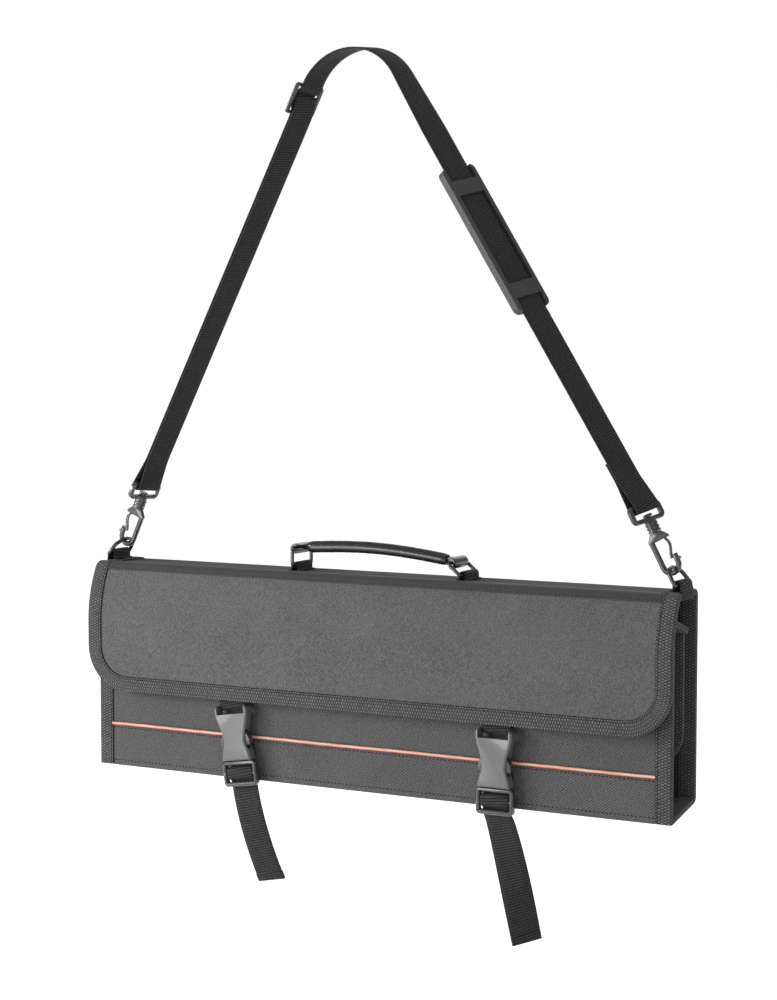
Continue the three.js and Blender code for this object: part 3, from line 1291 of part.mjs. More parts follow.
function closingTail(length, sweepBack, drift, turn, bow) {
  const half = TAIL_THICKNESS / 2;
  const start = ANCHOR_BOTTOM - BUCKLE_MOUTH_HEIGHT - SEAT_GAP;
  const cross = -(PLUG_SHOULDER + PLUG_BAR_TOP) / 2;
  const over = -PLUG_BAR_DEPTH / 2 - SEAT_GAP - half;
  const behind = PLUG_THICKNESS / 2 + SEAT_GAP + half;
  const barEnd = -PLUG_BAR_TOP - PLUG_BAR;
  const endBar = PLUG_END_BAR - PLUG_LENGTH;
  const points = [
    [anchorY, start],
    [anchorY, cross],
    [over + half, cross],
    [over, cross - TAIL_THICKNESS],
    [over, barEnd - half],
    [behind, endBar + half],
    [behind, -PLUG_LENGTH - SEAT_GAP],
  ];
  const stations = stationsOf(points, FRAME_YZ);
  const hemShare = 1 - TAIL_HEM / length;
  const shares = Array.from({ length: TAIL_STEPS }, (_, i) => ((i + 1) / TAIL_STEPS) * hemShare);
  const place = (share) =>
    vec(
      drift * share,
      behind + sweepBack * share ** bow,
      -PLUG_LENGTH - SEAT_GAP - length * share,
    );
  const tailStation = (share, thick) => {
    const ahead = place(share + 1 / TAIL_STEPS ** 2);
    const travel = ahead.sub(place(share)).normalize();
    const angle = turn * share;
    const across = vec(Math.cos(angle), Math.sin(angle), 0);
    across.addScaledVector(travel, -across.dot(travel)).normalize();
    const normal = across.clone().cross(travel).multiplyScalar(thick);
    return { centre: place(share), across, normal };
  };
  const fold = 1 + SEAT_GAP;
  for (const share of shares) stations.push(tailStation(share, 1));
  stations.push(tailStation(hemShare + half / length, 2 * fold), tailStation(1, 2 * fold));
  return sweepStations(flatSection(WEBBING_WIDTH, TAIL_THICKNESS), stations);
}

function addBuckles() {
  for (const [name, x, lean, tail] of [
    [
      "left",
      BUCKLE_LEFT_X,
      BUCKLE_LEFT_LEAN,
      [LEFT_TAIL_LENGTH, LEFT_TAIL_SWEEP, 0, LEFT_TAIL_TURN, LEFT_TAIL_BOW],
    ],
    [
      "right",
      BUCKLE_RIGHT_X,
      0,
      [RIGHT_TAIL_LENGTH, RIGHT_TAIL_SWEEP, RIGHT_TAIL_DRIFT, RIGHT_TAIL_TURN, RIGHT_TAIL_BOW],
    ],
  ]) {
    const place = vec(x, buckleY, BUCKLE_MOUTH_HEIGHT);
    const group = turned(place, leanOut(lean, 1), leanIn(lean, 1));
    add("socket_tab_" + name, socketTab(), WEBBING_BLACK, group);
    add("buckle_socket_" + name, buckleSocket(), PLASTIC_GREY, group);
    add("buckle_plug_" + name, bucklePlug(), PLASTIC_GREY, group);
    add("prong_" + name + "_inner", buckleProng(x < 0 ? 1 : -1), PLASTIC_GREY, group);
    add("prong_" + name + "_outer", buckleProng(x < 0 ? -1 : 1), PLASTIC_GREY, group);
    add("closing_anchor_" + name, closingAnchor(), WEBBING_BLACK, group);
    add("closing_tail_" + name, closingTail(...tail), WEBBING_BLACK, group);
  }
}

addBuckles();

export default model;
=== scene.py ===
"""Dresses the hard chef knife case: sewn cloth panels, bindings, webbing, buckles, hooks and handle.

Lines are worked out in millimetres in the case's own frame, with z 0 at the bottom edge of the front,
and turned into metres in the row frame when a mesh is made.
"""

import json
import math

import bpy
import numpy as np
from bpy.props import FloatProperty, FloatVectorProperty, PointerProperty
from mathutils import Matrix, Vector


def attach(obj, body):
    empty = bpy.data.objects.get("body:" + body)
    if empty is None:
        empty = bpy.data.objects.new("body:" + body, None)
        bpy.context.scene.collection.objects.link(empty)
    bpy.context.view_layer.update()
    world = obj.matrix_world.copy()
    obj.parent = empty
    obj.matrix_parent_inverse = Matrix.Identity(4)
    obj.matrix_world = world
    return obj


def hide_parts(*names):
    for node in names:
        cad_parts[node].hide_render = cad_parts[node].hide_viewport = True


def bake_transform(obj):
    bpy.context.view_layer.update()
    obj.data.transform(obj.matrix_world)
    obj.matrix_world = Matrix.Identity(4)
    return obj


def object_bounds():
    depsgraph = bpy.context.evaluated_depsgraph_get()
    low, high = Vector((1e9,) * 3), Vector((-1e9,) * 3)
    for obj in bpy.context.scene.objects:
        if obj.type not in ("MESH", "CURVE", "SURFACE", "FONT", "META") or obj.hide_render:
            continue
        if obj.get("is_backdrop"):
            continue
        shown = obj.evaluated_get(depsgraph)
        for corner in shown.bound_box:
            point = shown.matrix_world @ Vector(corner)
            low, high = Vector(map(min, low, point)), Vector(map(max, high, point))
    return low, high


bl_info = {
    "name": "Knife Case Dresser",
    "version": (1, 0, 0),
    "blender": (4, 5, 0),
    "location": "View3D > Sidebar > Knife Case",
    "description": "Sews the cloth, webbing and fittings of a chef knife case round its solids",
    "category": "Add Mesh",
}

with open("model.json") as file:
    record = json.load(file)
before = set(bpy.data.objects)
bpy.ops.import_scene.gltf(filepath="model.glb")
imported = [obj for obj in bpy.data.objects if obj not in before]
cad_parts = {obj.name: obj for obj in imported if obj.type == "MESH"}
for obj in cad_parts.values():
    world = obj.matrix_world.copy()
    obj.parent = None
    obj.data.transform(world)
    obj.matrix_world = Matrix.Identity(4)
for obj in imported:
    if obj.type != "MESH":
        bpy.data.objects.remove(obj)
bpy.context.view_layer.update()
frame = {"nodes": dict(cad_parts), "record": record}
NODE_BODY = {
    node: body for body, nodes in frame["record"]["behaviour"]["bodies"].items() for node in nodes
}

MM = 0.001
CASE_ORIGIN = np.array((20.0, 0.0, -602.7))
DEGREE = math.pi / 180
X_AXIS, Y_AXIS, Z_AXIS = np.eye(3)
SIDES = (("left", -1), ("right", 1))

# sizes of the case's panels, in millimetres
HALF_LENGTH = 265.0
FRONT_Y, BACK_Y = -25.0, 25.0
TOP_HEIGHT = 175.5
BOTTOM_RISE = 10.0
FRONT_HEIGHT = 157.5
ROOF_DEPTH, ROOF_DROP = 31.0, 10.5
SHELL_RADIUS = 4.5
SEAT_GAP = 0.3
PANEL_END_GAP = 0.5
CLOTH, BOARD, LINING = 0.8, 1.6, 0.6
PANEL = CLOTH + BOARD + LINING
LAYER_GAP = 0.05
BOARD_INSET = 2.0
CORNER_STEPS = 14
FELT_DEPTH, FELT = CLOTH + LAYER_GAP, BOARD - 2 * LAYER_GAP
TAPE, TAPE_COVER, TAPE_ROUND = 0.7, 12.5, 0.9
PROUD = SEAT_GAP + TAPE
FLAP_HALF = HALF_LENGTH + 4
FLAP_BOTTOM = 67.0
FLAP_CORNER = 38.0
BULGE_RADIUS, BULGE_STEP = 98.0, 1.4 * DEGREE
INNER_HALF, INNER_CORNER = HALF_LENGTH - 3, 30.0
INNER_LENGTH, INNER_SET_BACK = 105.0, 1.6

# sizes at the flap's fold, with the band over it and the strip of lining under it
FOLD_Y = FRONT_Y + 7.1
FOLD_RADIUS, FOLD_TURN = 8.0, 62 * DEGREE
FOLD_EASE, FOLD_BLEND = 1.2, 0.9
BAND_BACK, BAND_LENGTH, BAND = 5.0, 10.4, 0.5
BAND_TURN, BAND_CROWN = 70 * DEGREE, 0.1
BAND_STITCH_INSET, BAND_STITCH_UP = 2.0, 1.6
STRIP, STRIP_REACH, STRIP_INSET, STRIP_CUT = 0.3, 4.5, 1.0, 10.0
# how far past the start of the shell's top the painted shade on it begins
TOP_SHADE_MARGIN = 1.0

# sizes on the front panel
PIPING_HEIGHT, PIPING = 36.0, 2.4
PIPING_RADIUS_SHARE, PIPING_TUCK = 0.58, 0.2
SEAM_SLIT, SEAM_TUCK = 0.9, 0.7
FRONT_CROWN_SHARE = 0.7
UNDER_PIPING, OVER_HEM = 3.4, 4.2
HINGE, HINGE_INSET = 0.4, 1.0
HINGE_COURSE = ((-24.6, -0.35), (-21.9, -0.35), (-19.4, 0.7), (-14.5, 1.7))
HINGE_TURN = (2.0, 5.0)
HINGE_BLEND = ((-22.6, -0.3), (-19.6, 0.5))

# sizes of the elastic bands inside the back
LOOPS, LOOP_PITCH, LOOP_SEAM, LOOP_RISE = 8, 60.0, 3.6, 2.4
LOOP_STITCH_X, LOOP_STITCH_Z = 1.6, 15.0
ELASTIC_WIDTH, ELASTIC = 32.0, 0.8
LOW_ELASTIC_Z, HIGH_ELASTIC_Z = 38.0, 118.0

# sizes of stitches; a stitch's pitch and length stand together
STITCH_INSET, STITCH_AIM, THREAD_LIFT = 10.4, 0.4, 0.05
STITCH_LIFT_SHARE = 0.3
FINE_STITCH, SMALL_STITCH = (2.6, 1.9), (2.4, 1.8)
FRONT_STITCH_WIDTH = 1.1
SEAM_HALF = 10.5
SEAM_ROW = (-SEAM_HALF, 0.0, SEAM_HALF)

# sizes of the webbing, and of the loops that hold the rings
WEB_WIDTH, WEB, TAB = 25.0, 1.6, 1.4
WIRE_GAP, LOOP_CUT = 0.45, 0.8
HANDLE_LOOP_WIDTH, HANDLE_FOOT, FOOT_STITCH = 24.0, 2.6, 1.3
END_LOOP_DROP, END_LOOP_FOOT, END_FOOT_STITCH = 5.5, 2.4, 1.2
END_STITCH_HEIGHTS = (1.4, 3.6)

# sizes and places of the handle and its rings
RING_Z, RING_RISE, RING_WIRE, WIRE_EDGE = TOP_HEIGHT + 4.7, 14.3, 3.2, 0.45
LEFT_RING_X, RIGHT_RING_X, RING_LEAN = -76.5, 80.0, 50 * DEGREE
OPEN_PIVOT_GAP = 1.1
STRAP_HALF, STRAP_WIDE, CORE_RADIUS = 1.15, 12.0, 3.0
GRIP_CLIMB, GRIP_LIFT, GRIP_BOW = 8.0, 0.4, 4.8
DRAW_IN_START, DRAW_IN_LENGTH, FLAT_POWER = 1.5, 6.5, 0.28
TUBE_INSET, TUBE_ROWS = 8.0, 64
TUBE_RADIUS, TUBE_LIP_RADIUS, TUBE_BORE_RADIUS = 4.9, 4.2, 3.4

# sizes and places of the D-rings, hooks and swivel bases
HOOK_X, HOOK_Z, HOOK_WIRE = HALF_LENGTH - 8.5, TOP_HEIGHT + 15, 4.2
HOOK_LEANS = {-1: 24 * DEGREE, 1: 28 * DEGREE}
HOOK_RING_GAP, HOOK_NECK = 0.7, 34.0
DRING_WIRE, DRING_RISE, DRING_LEAN = 3.4, 15.0, 35 * DEGREE
GATE_WIDTH, GATE, GATE_CROWN = 2.9, 1.7, 0.2
GATE_HANDLES = ((5.0, 26.7), (9.4, 20.5), (3.3, 16.0), (3.3, 10.5))
SHANK_GAP, BARREL, CROSS_PIECE, BASE_WINDOW = 0.35, 9.0, 3.6, 7.4
BASE_BAR, BASE_DEPTH = 4.4, 4.6
HOOK_BAR_WRAP = math.hypot(BASE_BAR, BASE_DEPTH) / 2 + SEAT_GAP + WEB / 2

# sizes and places of the shoulder strap and its slider
HANG_X, HANG_Z = -20.0, TOP_HEIGHT + 428
TOP_RADII = {-1: 50.0, 1: 45.6}
STRAP_TILTS = {-1: -10 * DEGREE, 0: 4 * DEGREE, 1: 24 * DEGREE}
STRAP_SPREAD, STRAP_TWIST = 24.0, 55.0
STRAP_HEM, HEM_SEAM_LOW, HEM_SEAM_HIGH = 17.0, 1.5, 3.0
SLIDER_DISTANCE, SLIDER_BAR, SLIDER_SLOT, SLIDER_THICKNESS = 1.0, 3.0, 9.0, 2.4

# sizes and places of the buckles and their webbing
MOUTH_Z = 17.0
BUCKLE_STAND = 7.7
BUCKLE_Y = FRONT_Y - BUCKLE_STAND
SOCKET_LENGTH, SOCKET_SEAM_Z = 47.0, 104.0
SOCKET_BAR, SOCKET_BAR_DEPTH, SOCKET_BAR_BACK = 3.0, 2.6, 3.7
PLUG_LENGTH, PLUG_THICKNESS = 22.0, 6.0
PLUG_BAR_TOP, PLUG_BAR, PLUG_BAR_DEPTH, PLUG_END_BAR = 9.6, 3.0, 2.4, 3.6
ANCHOR_TOP, ANCHOR_BOTTOM, ANCHOR_SEAM = 33.0, 11.0, 1.5
TAIL_HEM, HEM_LAYERS, HEM_END_LAYERS = 7.0, 2.6, 1.8
DRAW_Y, DRAW_STRETCH = 6.0, (30.0 - MOUTH_Z, -5.5)
LEFT_BUCKLE_LEAN = 8.5 * DEGREE
BUCKLES = (
    # name, x, lean, tail length, sweep back, drift, turn, bow
    ("left", -118.5, LEFT_BUCKLE_LEAN, 84.0, 22.0, 0.0, 6 * DEGREE, 1.7),
    ("right", 120.5, 0.0, 108.0, 30.0, 12.0, 42 * DEGREE, 0.75),
)

# the studio's camera, lights and floor, in metres, and the camera's sensor in millimetres
SENSOR_WIDTH = 36
WHITE = (1, 1, 1, 1)
CAMERA_PLACE = (0.930, -1.627, -0.2307)
CAMERA_TURN = (85.86 * DEGREE, 0, 29.05 * DEGREE)
FLOOR_SIZE, FLOOR_GLOW = 600, 0.75
LIGHT_AIM = (0.0, 0.0, -0.45)
LIGHTS = (
    # name, place, width, watts
    ("key_light", (-2.0, -1.35, 0.1), 0.8, 36.0),
    ("gloss_light", (-0.93, -1.7, -0.53), 0.58, 8.0),
    ("fill_light", (1.9, -1.6, 0.2), 1.4, 4.0),
    ("top_light", (0.2, 0.3, 1.5), 1.2, 3.0),
    ("back_light", (-0.4, 2.2, 0.5), 1.6, 9.0),
)


# small helpers for objects


def only(obj):
    """Leaves one object selected and active."""
    if bpy.context.mode != "OBJECT":
        bpy.ops.object.mode_set(mode="OBJECT")
    bpy.ops.object.select_all(action="DESELECT")
    obj.select_set(True)
    bpy.context.view_layer.objects.active = obj
    return obj


def clear_selection():
    """Leaves nothing selected, in object mode."""
    if bpy.context.mode != "OBJECT":
        bpy.ops.object.mode_set(mode="OBJECT")
    bpy.ops.object.select_all(action="DESELECT")


def in_edit(obj, *steps):
    """Runs edit-mode steps with the whole mesh selected before each."""
    only(obj)
    bpy.ops.object.mode_set(mode="EDIT")
    for step in steps:
        bpy.ops.mesh.select_all(action="SELECT")
        step()
    bpy.ops.object.mode_set(mode="OBJECT")
    return obj


def face_out():
    """Turns all faces of the mesh in edit mode outwards."""
    bpy.ops.mesh.normals_make_consistent(inside=False)


def finish_with(obj, kind, **settings):
    """Adds a modifier, sets it and applies it."""
    only(obj)
    modifier = obj.modifiers.new(kind.title(), kind)
    for key, value in settings.items():
        setattr(modifier, key, value)
    bpy.ops.object.modifier_apply(modifier=modifier.name)
    return obj


def smooth(obj, angle=35):
    """Shades a piece smooth where its faces meet at less than the angle, in degrees."""
    only(obj)
    bpy.ops.object.shade_smooth_by_angle(angle=angle * DEGREE)
    return obj


def settle(obj, finish, body, nodes=(), angle=35):
    """Gives a finished piece its shading, material, body and the nodes it stands for."""
    smooth(obj, angle)
    obj.data.materials.clear()
    obj.data.materials.append(finish)
    if isinstance(body, str):
        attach(obj, body)
    else:
        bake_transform(obj)
    if nodes:
        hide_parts(*nodes)
    return obj


def woven(name, table, uv, around=False, ring=False):
    """A grid primitive laid over a table of points, its last column joined to its first if around,
    and its last row to its first if ring. UV coordinates are metres along and across the cloth."""
    rows, cols = table.shape[:2]
    clear_selection()
    bpy.ops.mesh.primitive_grid_add(x_subdivisions=cols - 1, y_subdivisions=rows - 1, size=1)
    obj = bpy.context.object
    obj.name = obj.data.name = name
    mesh = obj.data
    if len(mesh.vertices) != rows * cols:
        raise RuntimeError(f"{name}: the grid has {len(mesh.vertices)} corners, not {rows * cols}")
    flat = np.zeros(rows * cols * 3)
    mesh.vertices.foreach_get("co", flat)
    start = flat.reshape(-1, 3)
    col = np.rint((start[:, 0] + 0.5) * (cols - 1)).astype(int)
    row = np.rint((start[:, 1] + 0.5) * (rows - 1)).astype(int)
    mesh.vertices.foreach_set("co", ((table[row, col] + CASE_ORIGIN) * MM).ravel())
    corner = np.zeros(len(mesh.loops), int)
    mesh.loops.foreach_get("vertex_index", corner)
    mesh.uv_layers.active.data.foreach_set("uv", (uv[row[corner], col[corner]] * MM).ravel())
    mesh.update()
    if around or ring:
        in_edit(obj, lambda: bpy.ops.mesh.remove_doubles(threshold=1e-6))
    if around and not ring:
        in_edit(obj, lambda: bpy.ops.mesh.fill_holes(sides=0))
    if around:
        in_edit(obj, face_out)
    return obj


# lines that panels and webbing follow


class PanelLine:
    """The outer face of a panel seen from its end: straight runs and bends in the YZ plane. Angle 0
    runs forward and turns down as it grows."""

    def __init__(self, y, z, angle):
        self.rows = [(0.0, y, z, angle)]

    @property
    def end(self):
        """Length of the line so far."""
        return self.rows[-1][0]

    def line(self, length, step=9.0):
        """Adds a straight run, and gives where it ends."""
        s, y, z, angle = self.rows[-1]
        count = max(1, math.ceil(length / step))
        for i in range(1, count + 1):
            along = length * i / count
            self.rows.append(
                (s + along, y - along * math.cos(angle), z - along * math.sin(angle), angle)
            )
        return self.end

    def bend(self, radius, angle, step=6 * DEGREE):
        """Adds a bend to a new angle, and gives where it ends."""
        s, y, z, start = self.rows[-1]
        count = math.ceil(abs(angle - start) / step - 1e-9)
        side = math.copysign(1, angle - start)
        for i in range(1, count + 1):
            now = start + (angle - start) * i / count
            self.rows.append(
                (
                    s + abs(now - start) * radius,
                    y - side * radius * (math.sin(now) - math.sin(start)),
                    z + side * radius * (math.cos(now) - math.cos(start)),
                    now,
                )
            )
        return self.end

    @classmethod
    def through(cls, *points):
        """A line through points of the YZ plane, its corners cut."""
        pts = softened(points, 1.0)
        run = np.diff(pts, axis=0)
        angles = np.arctan2(-run[:, 1], -run[:, 0])
        angles = np.unwrap([angles[0], *((angles[1:] + angles[:-1]) / 2), angles[-1]])
        made = cls(*pts[0], angles[0])
        along = np.concatenate([[0], np.cumsum(np.linalg.norm(run, axis=1))])
        made.rows = list(zip(along, pts[:, 0], pts[:, 1], angles))
        return made

    def at(self, s):
        """Y, z and angle at distances along the line."""
        table = np.array(self.rows)
        return [np.interp(s, table[:, 0], table[:, i]) for i in (1, 2, 3)]

    def points(self, x, s, depth):
        """Points at x, a distance along the line and a depth under its face."""
        y, z, angle = self.at(s)
        x, y2 = np.broadcast_arrays(x, y + depth * np.sin(angle))
        return np.stack([x, y2, z - depth * np.cos(angle)], -1)

    def stops(self, low, high):
        """Where rows lie between two distances, at the corners of the line."""
        inside = [r[0] for r in self.rows if low + 0.2 < r[0] < high - 0.2]
        return np.array([low, *inside, high])


def rounded_half(half, end, radius):
    """Half the width of a panel along its line, with its last two corners rounded."""

    def width(s):
        over = np.clip(s - (end - radius), 0, radius)
        return half - radius + np.sqrt(radius**2 - over**2)

    return width


def rounded_stops(line, low, end, radius):
    """Where such a panel's rows lie along its line."""
    turn = [90 * DEGREE * i / CORNER_STEPS for i in range(1, CORNER_STEPS + 1)]
    corner = [end - radius + radius * math.sin(angle) for angle in turn]
    return np.concatenate([line.stops(low, end - radius), corner])


def rounded_area(half, length, radius):
    """Area of such a panel laid flat, in square metres."""
    return (2 * half * length - 2 * radius**2 * (1 - math.pi / 4)) * MM * MM


def ripple(x, s, size):
    """A fixed, gentle unevenness of sewn cloth, between minus size and size."""
    waves = np.sin(x * 0.034 + 1.3) * np.sin(s * 0.061 + 0.4)
    waves = waves + 0.6 * np.sin(x * 0.083 - s * 0.041 + 2.1)
    return size * waves / 1.6


def sheet(name, line, low, high, half, depth, thickness, stops=None, crown=0.0, tuck=(0, 0)):
    """One layer of a panel, laid as a grid on its line and thickened inwards. Tuck turns the first or
    last millimetres of the cloth in, as at a seam."""
    s = line.stops(low, high) if stops is None else stops
    if any(tuck):
        near = np.array([0.4, 0.9, 1.6, 2.6])
        more = [low + near * (tuck[0] > 0), high - near * (tuck[1] > 0)]
        s = np.unique(np.clip(np.concatenate([s, *more]), low, high))
    columns = 61
    u = np.linspace(-1, 1, columns)
    half_at = half(s) if callable(half) else np.full(len(s), float(half))
    x = u[None, :] * half_at[:, None]
    along = np.repeat(s[:, None], columns, 1)
    share = (along - low) / (high - low)
    bulge = crown * (1 - u[None, :] ** 8) * (1 - (2 * share - 1) ** 8)
    bulge = bulge + ripple(x, along, crown / 3) * (1 - u[None, :] ** 8)
    deep = depth - bulge
    for edge, amount in ((low, tuck[0]), (high, tuck[1])):
        deep = deep + amount * np.clip(1 - abs(along - edge) / 2.0, 0, 1) ** 2
    table = line.points(x, along, deep)
    obj = woven(name, table, np.stack([x, along], -1))
    half_way = len(s) // 2
    middle, above = (line.points(0.0, s[half_way : half_way + 1], deep)[0] for deep in (0.0, -1.0))
    face = obj.data.polygons[half_way * (columns - 1) + columns // 2]
    if face.normal.dot(Vector(above - middle)) < 0:
        in_edit(obj, lambda: bpy.ops.mesh.flip_normals())
    finish_with(obj, "SOLIDIFY", thickness=thickness * MM, offset=-1.0, use_even_offset=True)
    return obj


def tape_profile(thickness, crown):
    """A folded tape's section: distance in from the panel's edge and depth, with a rolled inner lip."""
    low = thickness + SEAT_GAP
    out = -PROUD
    bottom = low + TAPE
    turn = [(math.cos(a * DEGREE), math.sin(a * DEGREE)) for a in (15, 40, 65, 90)]
    r = TAPE_ROUND
    under = [(out + r - r * c, bottom - r + r * s) for c, s in turn][::-1]
    over = [(out + r - r * c, -PROUD + r - r * s) for c, s in turn]
    return np.array(
        [
            (TAPE_COVER - 0.35, -SEAT_GAP),
            (-SEAT_GAP, -SEAT_GAP),
            (-SEAT_GAP, low),
            (TAPE_COVER - 0.35, low),
            (TAPE_COVER, low + 0.3),
            (TAPE_COVER - 0.5, bottom),
            (TAPE_COVER * 0.8, bottom - 0.08),
            (TAPE_COVER * 0.45, bottom + crown),
            *under,
            *over,
            (TAPE_COVER * 0.2, -PROUD - crown),
            (TAPE_COVER * 0.45, -PROUD - crown * 1.2),
            (TAPE_COVER * 0.7, -PROUD - crown * 0.4),
            (TAPE_COVER * 0.8, -PROUD + 0.12),
            (TAPE_COVER * 0.86, -PROUD + 0.02),
            (TAPE_COVER - 0.5, -PROUD),
            (TAPE_COVER, -SEAT_GAP - 0.35),
            (TAPE_COVER - 0.35, -SEAT_GAP),
        ]
    )


def tape_round(name, line, edge, thickness, crown):
    """A binding along a panel's edge, from edge rows (x, s, nx, ns) with the direction outwards."""
    profile = tape_profile(thickness, crown)
    rows = []
    for x, s, nx, ns in edge:
        rows.append(line.points(x - profile[:, 0] * nx, s - profile[:, 0] * ns, profile[:, 1]))
    table = np.array(rows)
    around = np.concatenate([[0], np.cumsum(np.linalg.norm(np.diff(profile, axis=0), axis=1))])
    around = around - around[-1]
    middle = table[:, len(profile) // 2]
    along = np.concatenate([[0], np.cumsum(np.linalg.norm(np.diff(middle, axis=0), axis=1))])
    grid = np.stack(np.meshgrid(along, around, indexing="ij"), -1)
    return woven(name, table, grid, around=True)


def side_edge(line, half, side):
    """Down one straight side of a panel."""
    return [(side * half, s, side, 0.0) for s in line.stops(0, line.end)]


def loop_edge(line, end, half, radius):
    """Down one side, round both corners, across the bottom and up the other side."""
    side = [(half, s, 1.0, 0.0) for s in line.stops(0.0, end - radius)]
    corner = []
    for i in range(1, CORNER_STEPS + 1):
        turn = 90 * DEGREE * i / CORNER_STEPS
        n, m = math.cos(turn), math.sin(turn)
        corner.append((half - radius + radius * n, end - radius + radius * m, n, m))
    run = np.linspace(half - radius, 0, 24)[1:-1]
    base = [(x, end, 0.0, 1.0) for x in run]
    right = side + corner + base
    left = [(-x, s, -nx, ns) for x, s, nx, ns in right][::-1]
    return right + [(0.0, end, 0.0, 1.0)] + left


def softened(points, reach=1.6, times=2):
    """Cuts the corners of a line, each by at most a quarter of its runs."""
    line = [np.asarray(p, float) for p in points]
    for _ in range(times):
        out = [line[0]]
        for before, here, after in zip(line, line[1:], line[2:]):
            for other in (before, after):
                gap = np.linalg.norm(other - here)
                out.append(here + (other - here) * min(0.25, reach / max(gap, 1e-6)))
        line = [*out, line[-1]]
    return np.array(line)


def turn_points(centre, radius, start, end, step=15 * DEGREE):
    """Points on an arc round a centre, from one angle to another."""
    count = max(1, math.ceil(abs(end - start) / step - 1e-9))
    angles = [start + (end - start) * i / count for i in range(count + 1)]
    return [(centre[0] + radius * math.cos(a), centre[1] + radius * math.sin(a)) for a in angles]


def unit(v):
    """A direction of length 1."""
    v = np.asarray(v, float)
    return v / np.linalg.norm(v)


class Course:
    """Places along a ribbon: middle, direction across and direction through, one row each."""

    def __init__(self, middle, across, through):
        self.middle, self.across, self.through = (
            np.array(v, float) for v in (middle, across, through)
        )

    @classmethod
    def flat(cls, points, origin, a, b, across):
        """A course through points of the plane of a and b, whose bends keep the ribbon's thickness."""
        pts = np.array(points, float)
        keep = np.concatenate([[True], np.linalg.norm(np.diff(pts, axis=0), axis=1) > 1e-4])
        pts = pts[keep]
        run = np.diff(pts, axis=0)
        run = run / np.linalg.norm(run, axis=1)[:, None]
        came, goes = np.vstack([run[:1], run]), np.vstack([run, run[-1:]])
        along = came + goes
        along = along / np.linalg.norm(along, axis=1)[:, None]
        stretch = 1 / (along * came).sum(1)
        side = np.stack([-along[:, 1], along[:, 0]], 1) * stretch[:, None]
        middle = np.asarray(origin) + pts[:, :1] * a + pts[:, 1:] * b
        through = side[:, :1] * a + side[:, 1:] * b
        return cls(middle, np.repeat([across], len(pts), 0), through)

    def then(self, other):
        """This course with another one after it."""
        return Course(
            np.vstack([self.middle, other.middle]),
            np.vstack([self.across, other.across]),
            np.vstack([self.through, other.through]),
        )

    def moved(self, place):
        """The course in a turned frame."""
        return Course(
            place.points(self.middle), place.vectors(self.across), place.vectors(self.through)
        )

    @property
    def along(self):
        """Distances along the course's middle."""
        gaps = np.linalg.norm(np.diff(self.middle, axis=0), axis=1)
        return np.concatenate([[0], np.cumsum(gaps)])


class Place:
    """A turned frame: z along an axis, x across it."""

    def __init__(self, origin, across, axis):
        self.origin = np.asarray(origin, float)
        self.basis = np.array([across, np.cross(axis, across), axis])

    def vectors(self, v):
        return np.asarray(v) @ self.basis

    def points(self, p):
        return self.origin + np.asarray(p) @ self.basis


def ribbon(name, course, width, thickness, crown=0.05):
    """Woven webbing with rolled selvages along a course."""
    side = [(-1, 0), (-0.988, 0.62), (-0.955, 0.96), (-0.6, 1 + crown), (0, 1 + 1.4 * crown)]
    upper = side + [(-a, b) for a, b in side[:-1]][::-1]
    lower = [(-a, -b) for a, b in upper][1:]
    profile = np.array(upper + lower)
    half_width, half_depth = width / 2, thickness / 2
    table = course.middle[:, None, :]
    table = table + course.across[:, None, :] * profile[None, :, :1] * half_width
    table = table + course.through[:, None, :] * profile[None, :, 1:] * half_depth
    across = np.broadcast_to(profile[None, :, 0] * half_width, table.shape[:2])
    along = np.broadcast_to(course.along[:, None], table.shape[:2])
    return woven(name, table, np.stack([along, across], -1), around=True)


# finishes


class Thread:
    """A number in a finish that changes over the surface; plain arithmetic on it adds Math nodes."""

    def __init__(self, loom, socket):
        self.loom, self.socket = loom, socket

    def _maths(self, operation, *values):
        node = self.loom.add("ShaderNodeMath", {"operation": operation})
        for socket, value in zip(node.inputs, values):
            self.loom.feed(socket, value)
        return Thread(self.loom, node.outputs[0])

    def __add__(self, other):
        return self._maths("ADD", self, other)

    __radd__ = __add__

    def __sub__(self, other):
        return self._maths("SUBTRACT", self, other)

    def __rsub__(self, other):
        return self._maths("SUBTRACT", other, self)

    def __mul__(self, other):
        return self._maths("MULTIPLY", self, other)

    __rmul__ = __mul__

    def __truediv__(self, other):
        return self._maths("DIVIDE", self, other)

    def __pow__(self, power):
        return self._maths("POWER", self, power)

    def most(self, other):
        return self._maths("MAXIMUM", self, other)

    def wave(self, pitch, phase=0.0):
        """A smooth rise and fall between 0 and 1, once in each pitch."""
        turned = self * (2 * math.pi / pitch) + phase
        return self._maths("SINE", turned) * 0.5 + 0.5

    def floor(self):
        return self._maths("FLOOR", self)

    def fraction(self):
        return self._maths("FRACT", self)

    def clamp(self):
        return self._maths("MINIMUM", self.most(0.0), 1.0)

    def step(self, low, high):
        """0 below low, 1 above high."""
        node = self.loom.add("ShaderNodeMapRange", {"interpolation_type": "SMOOTHSTEP"})
        self.loom.feed(node.inputs["Value"], self)
        self.loom.feed(node.inputs["From Min"], low)
        self.loom.feed(node.inputs["From Max"], high)
        return Thread(self.loom, node.outputs["Result"])


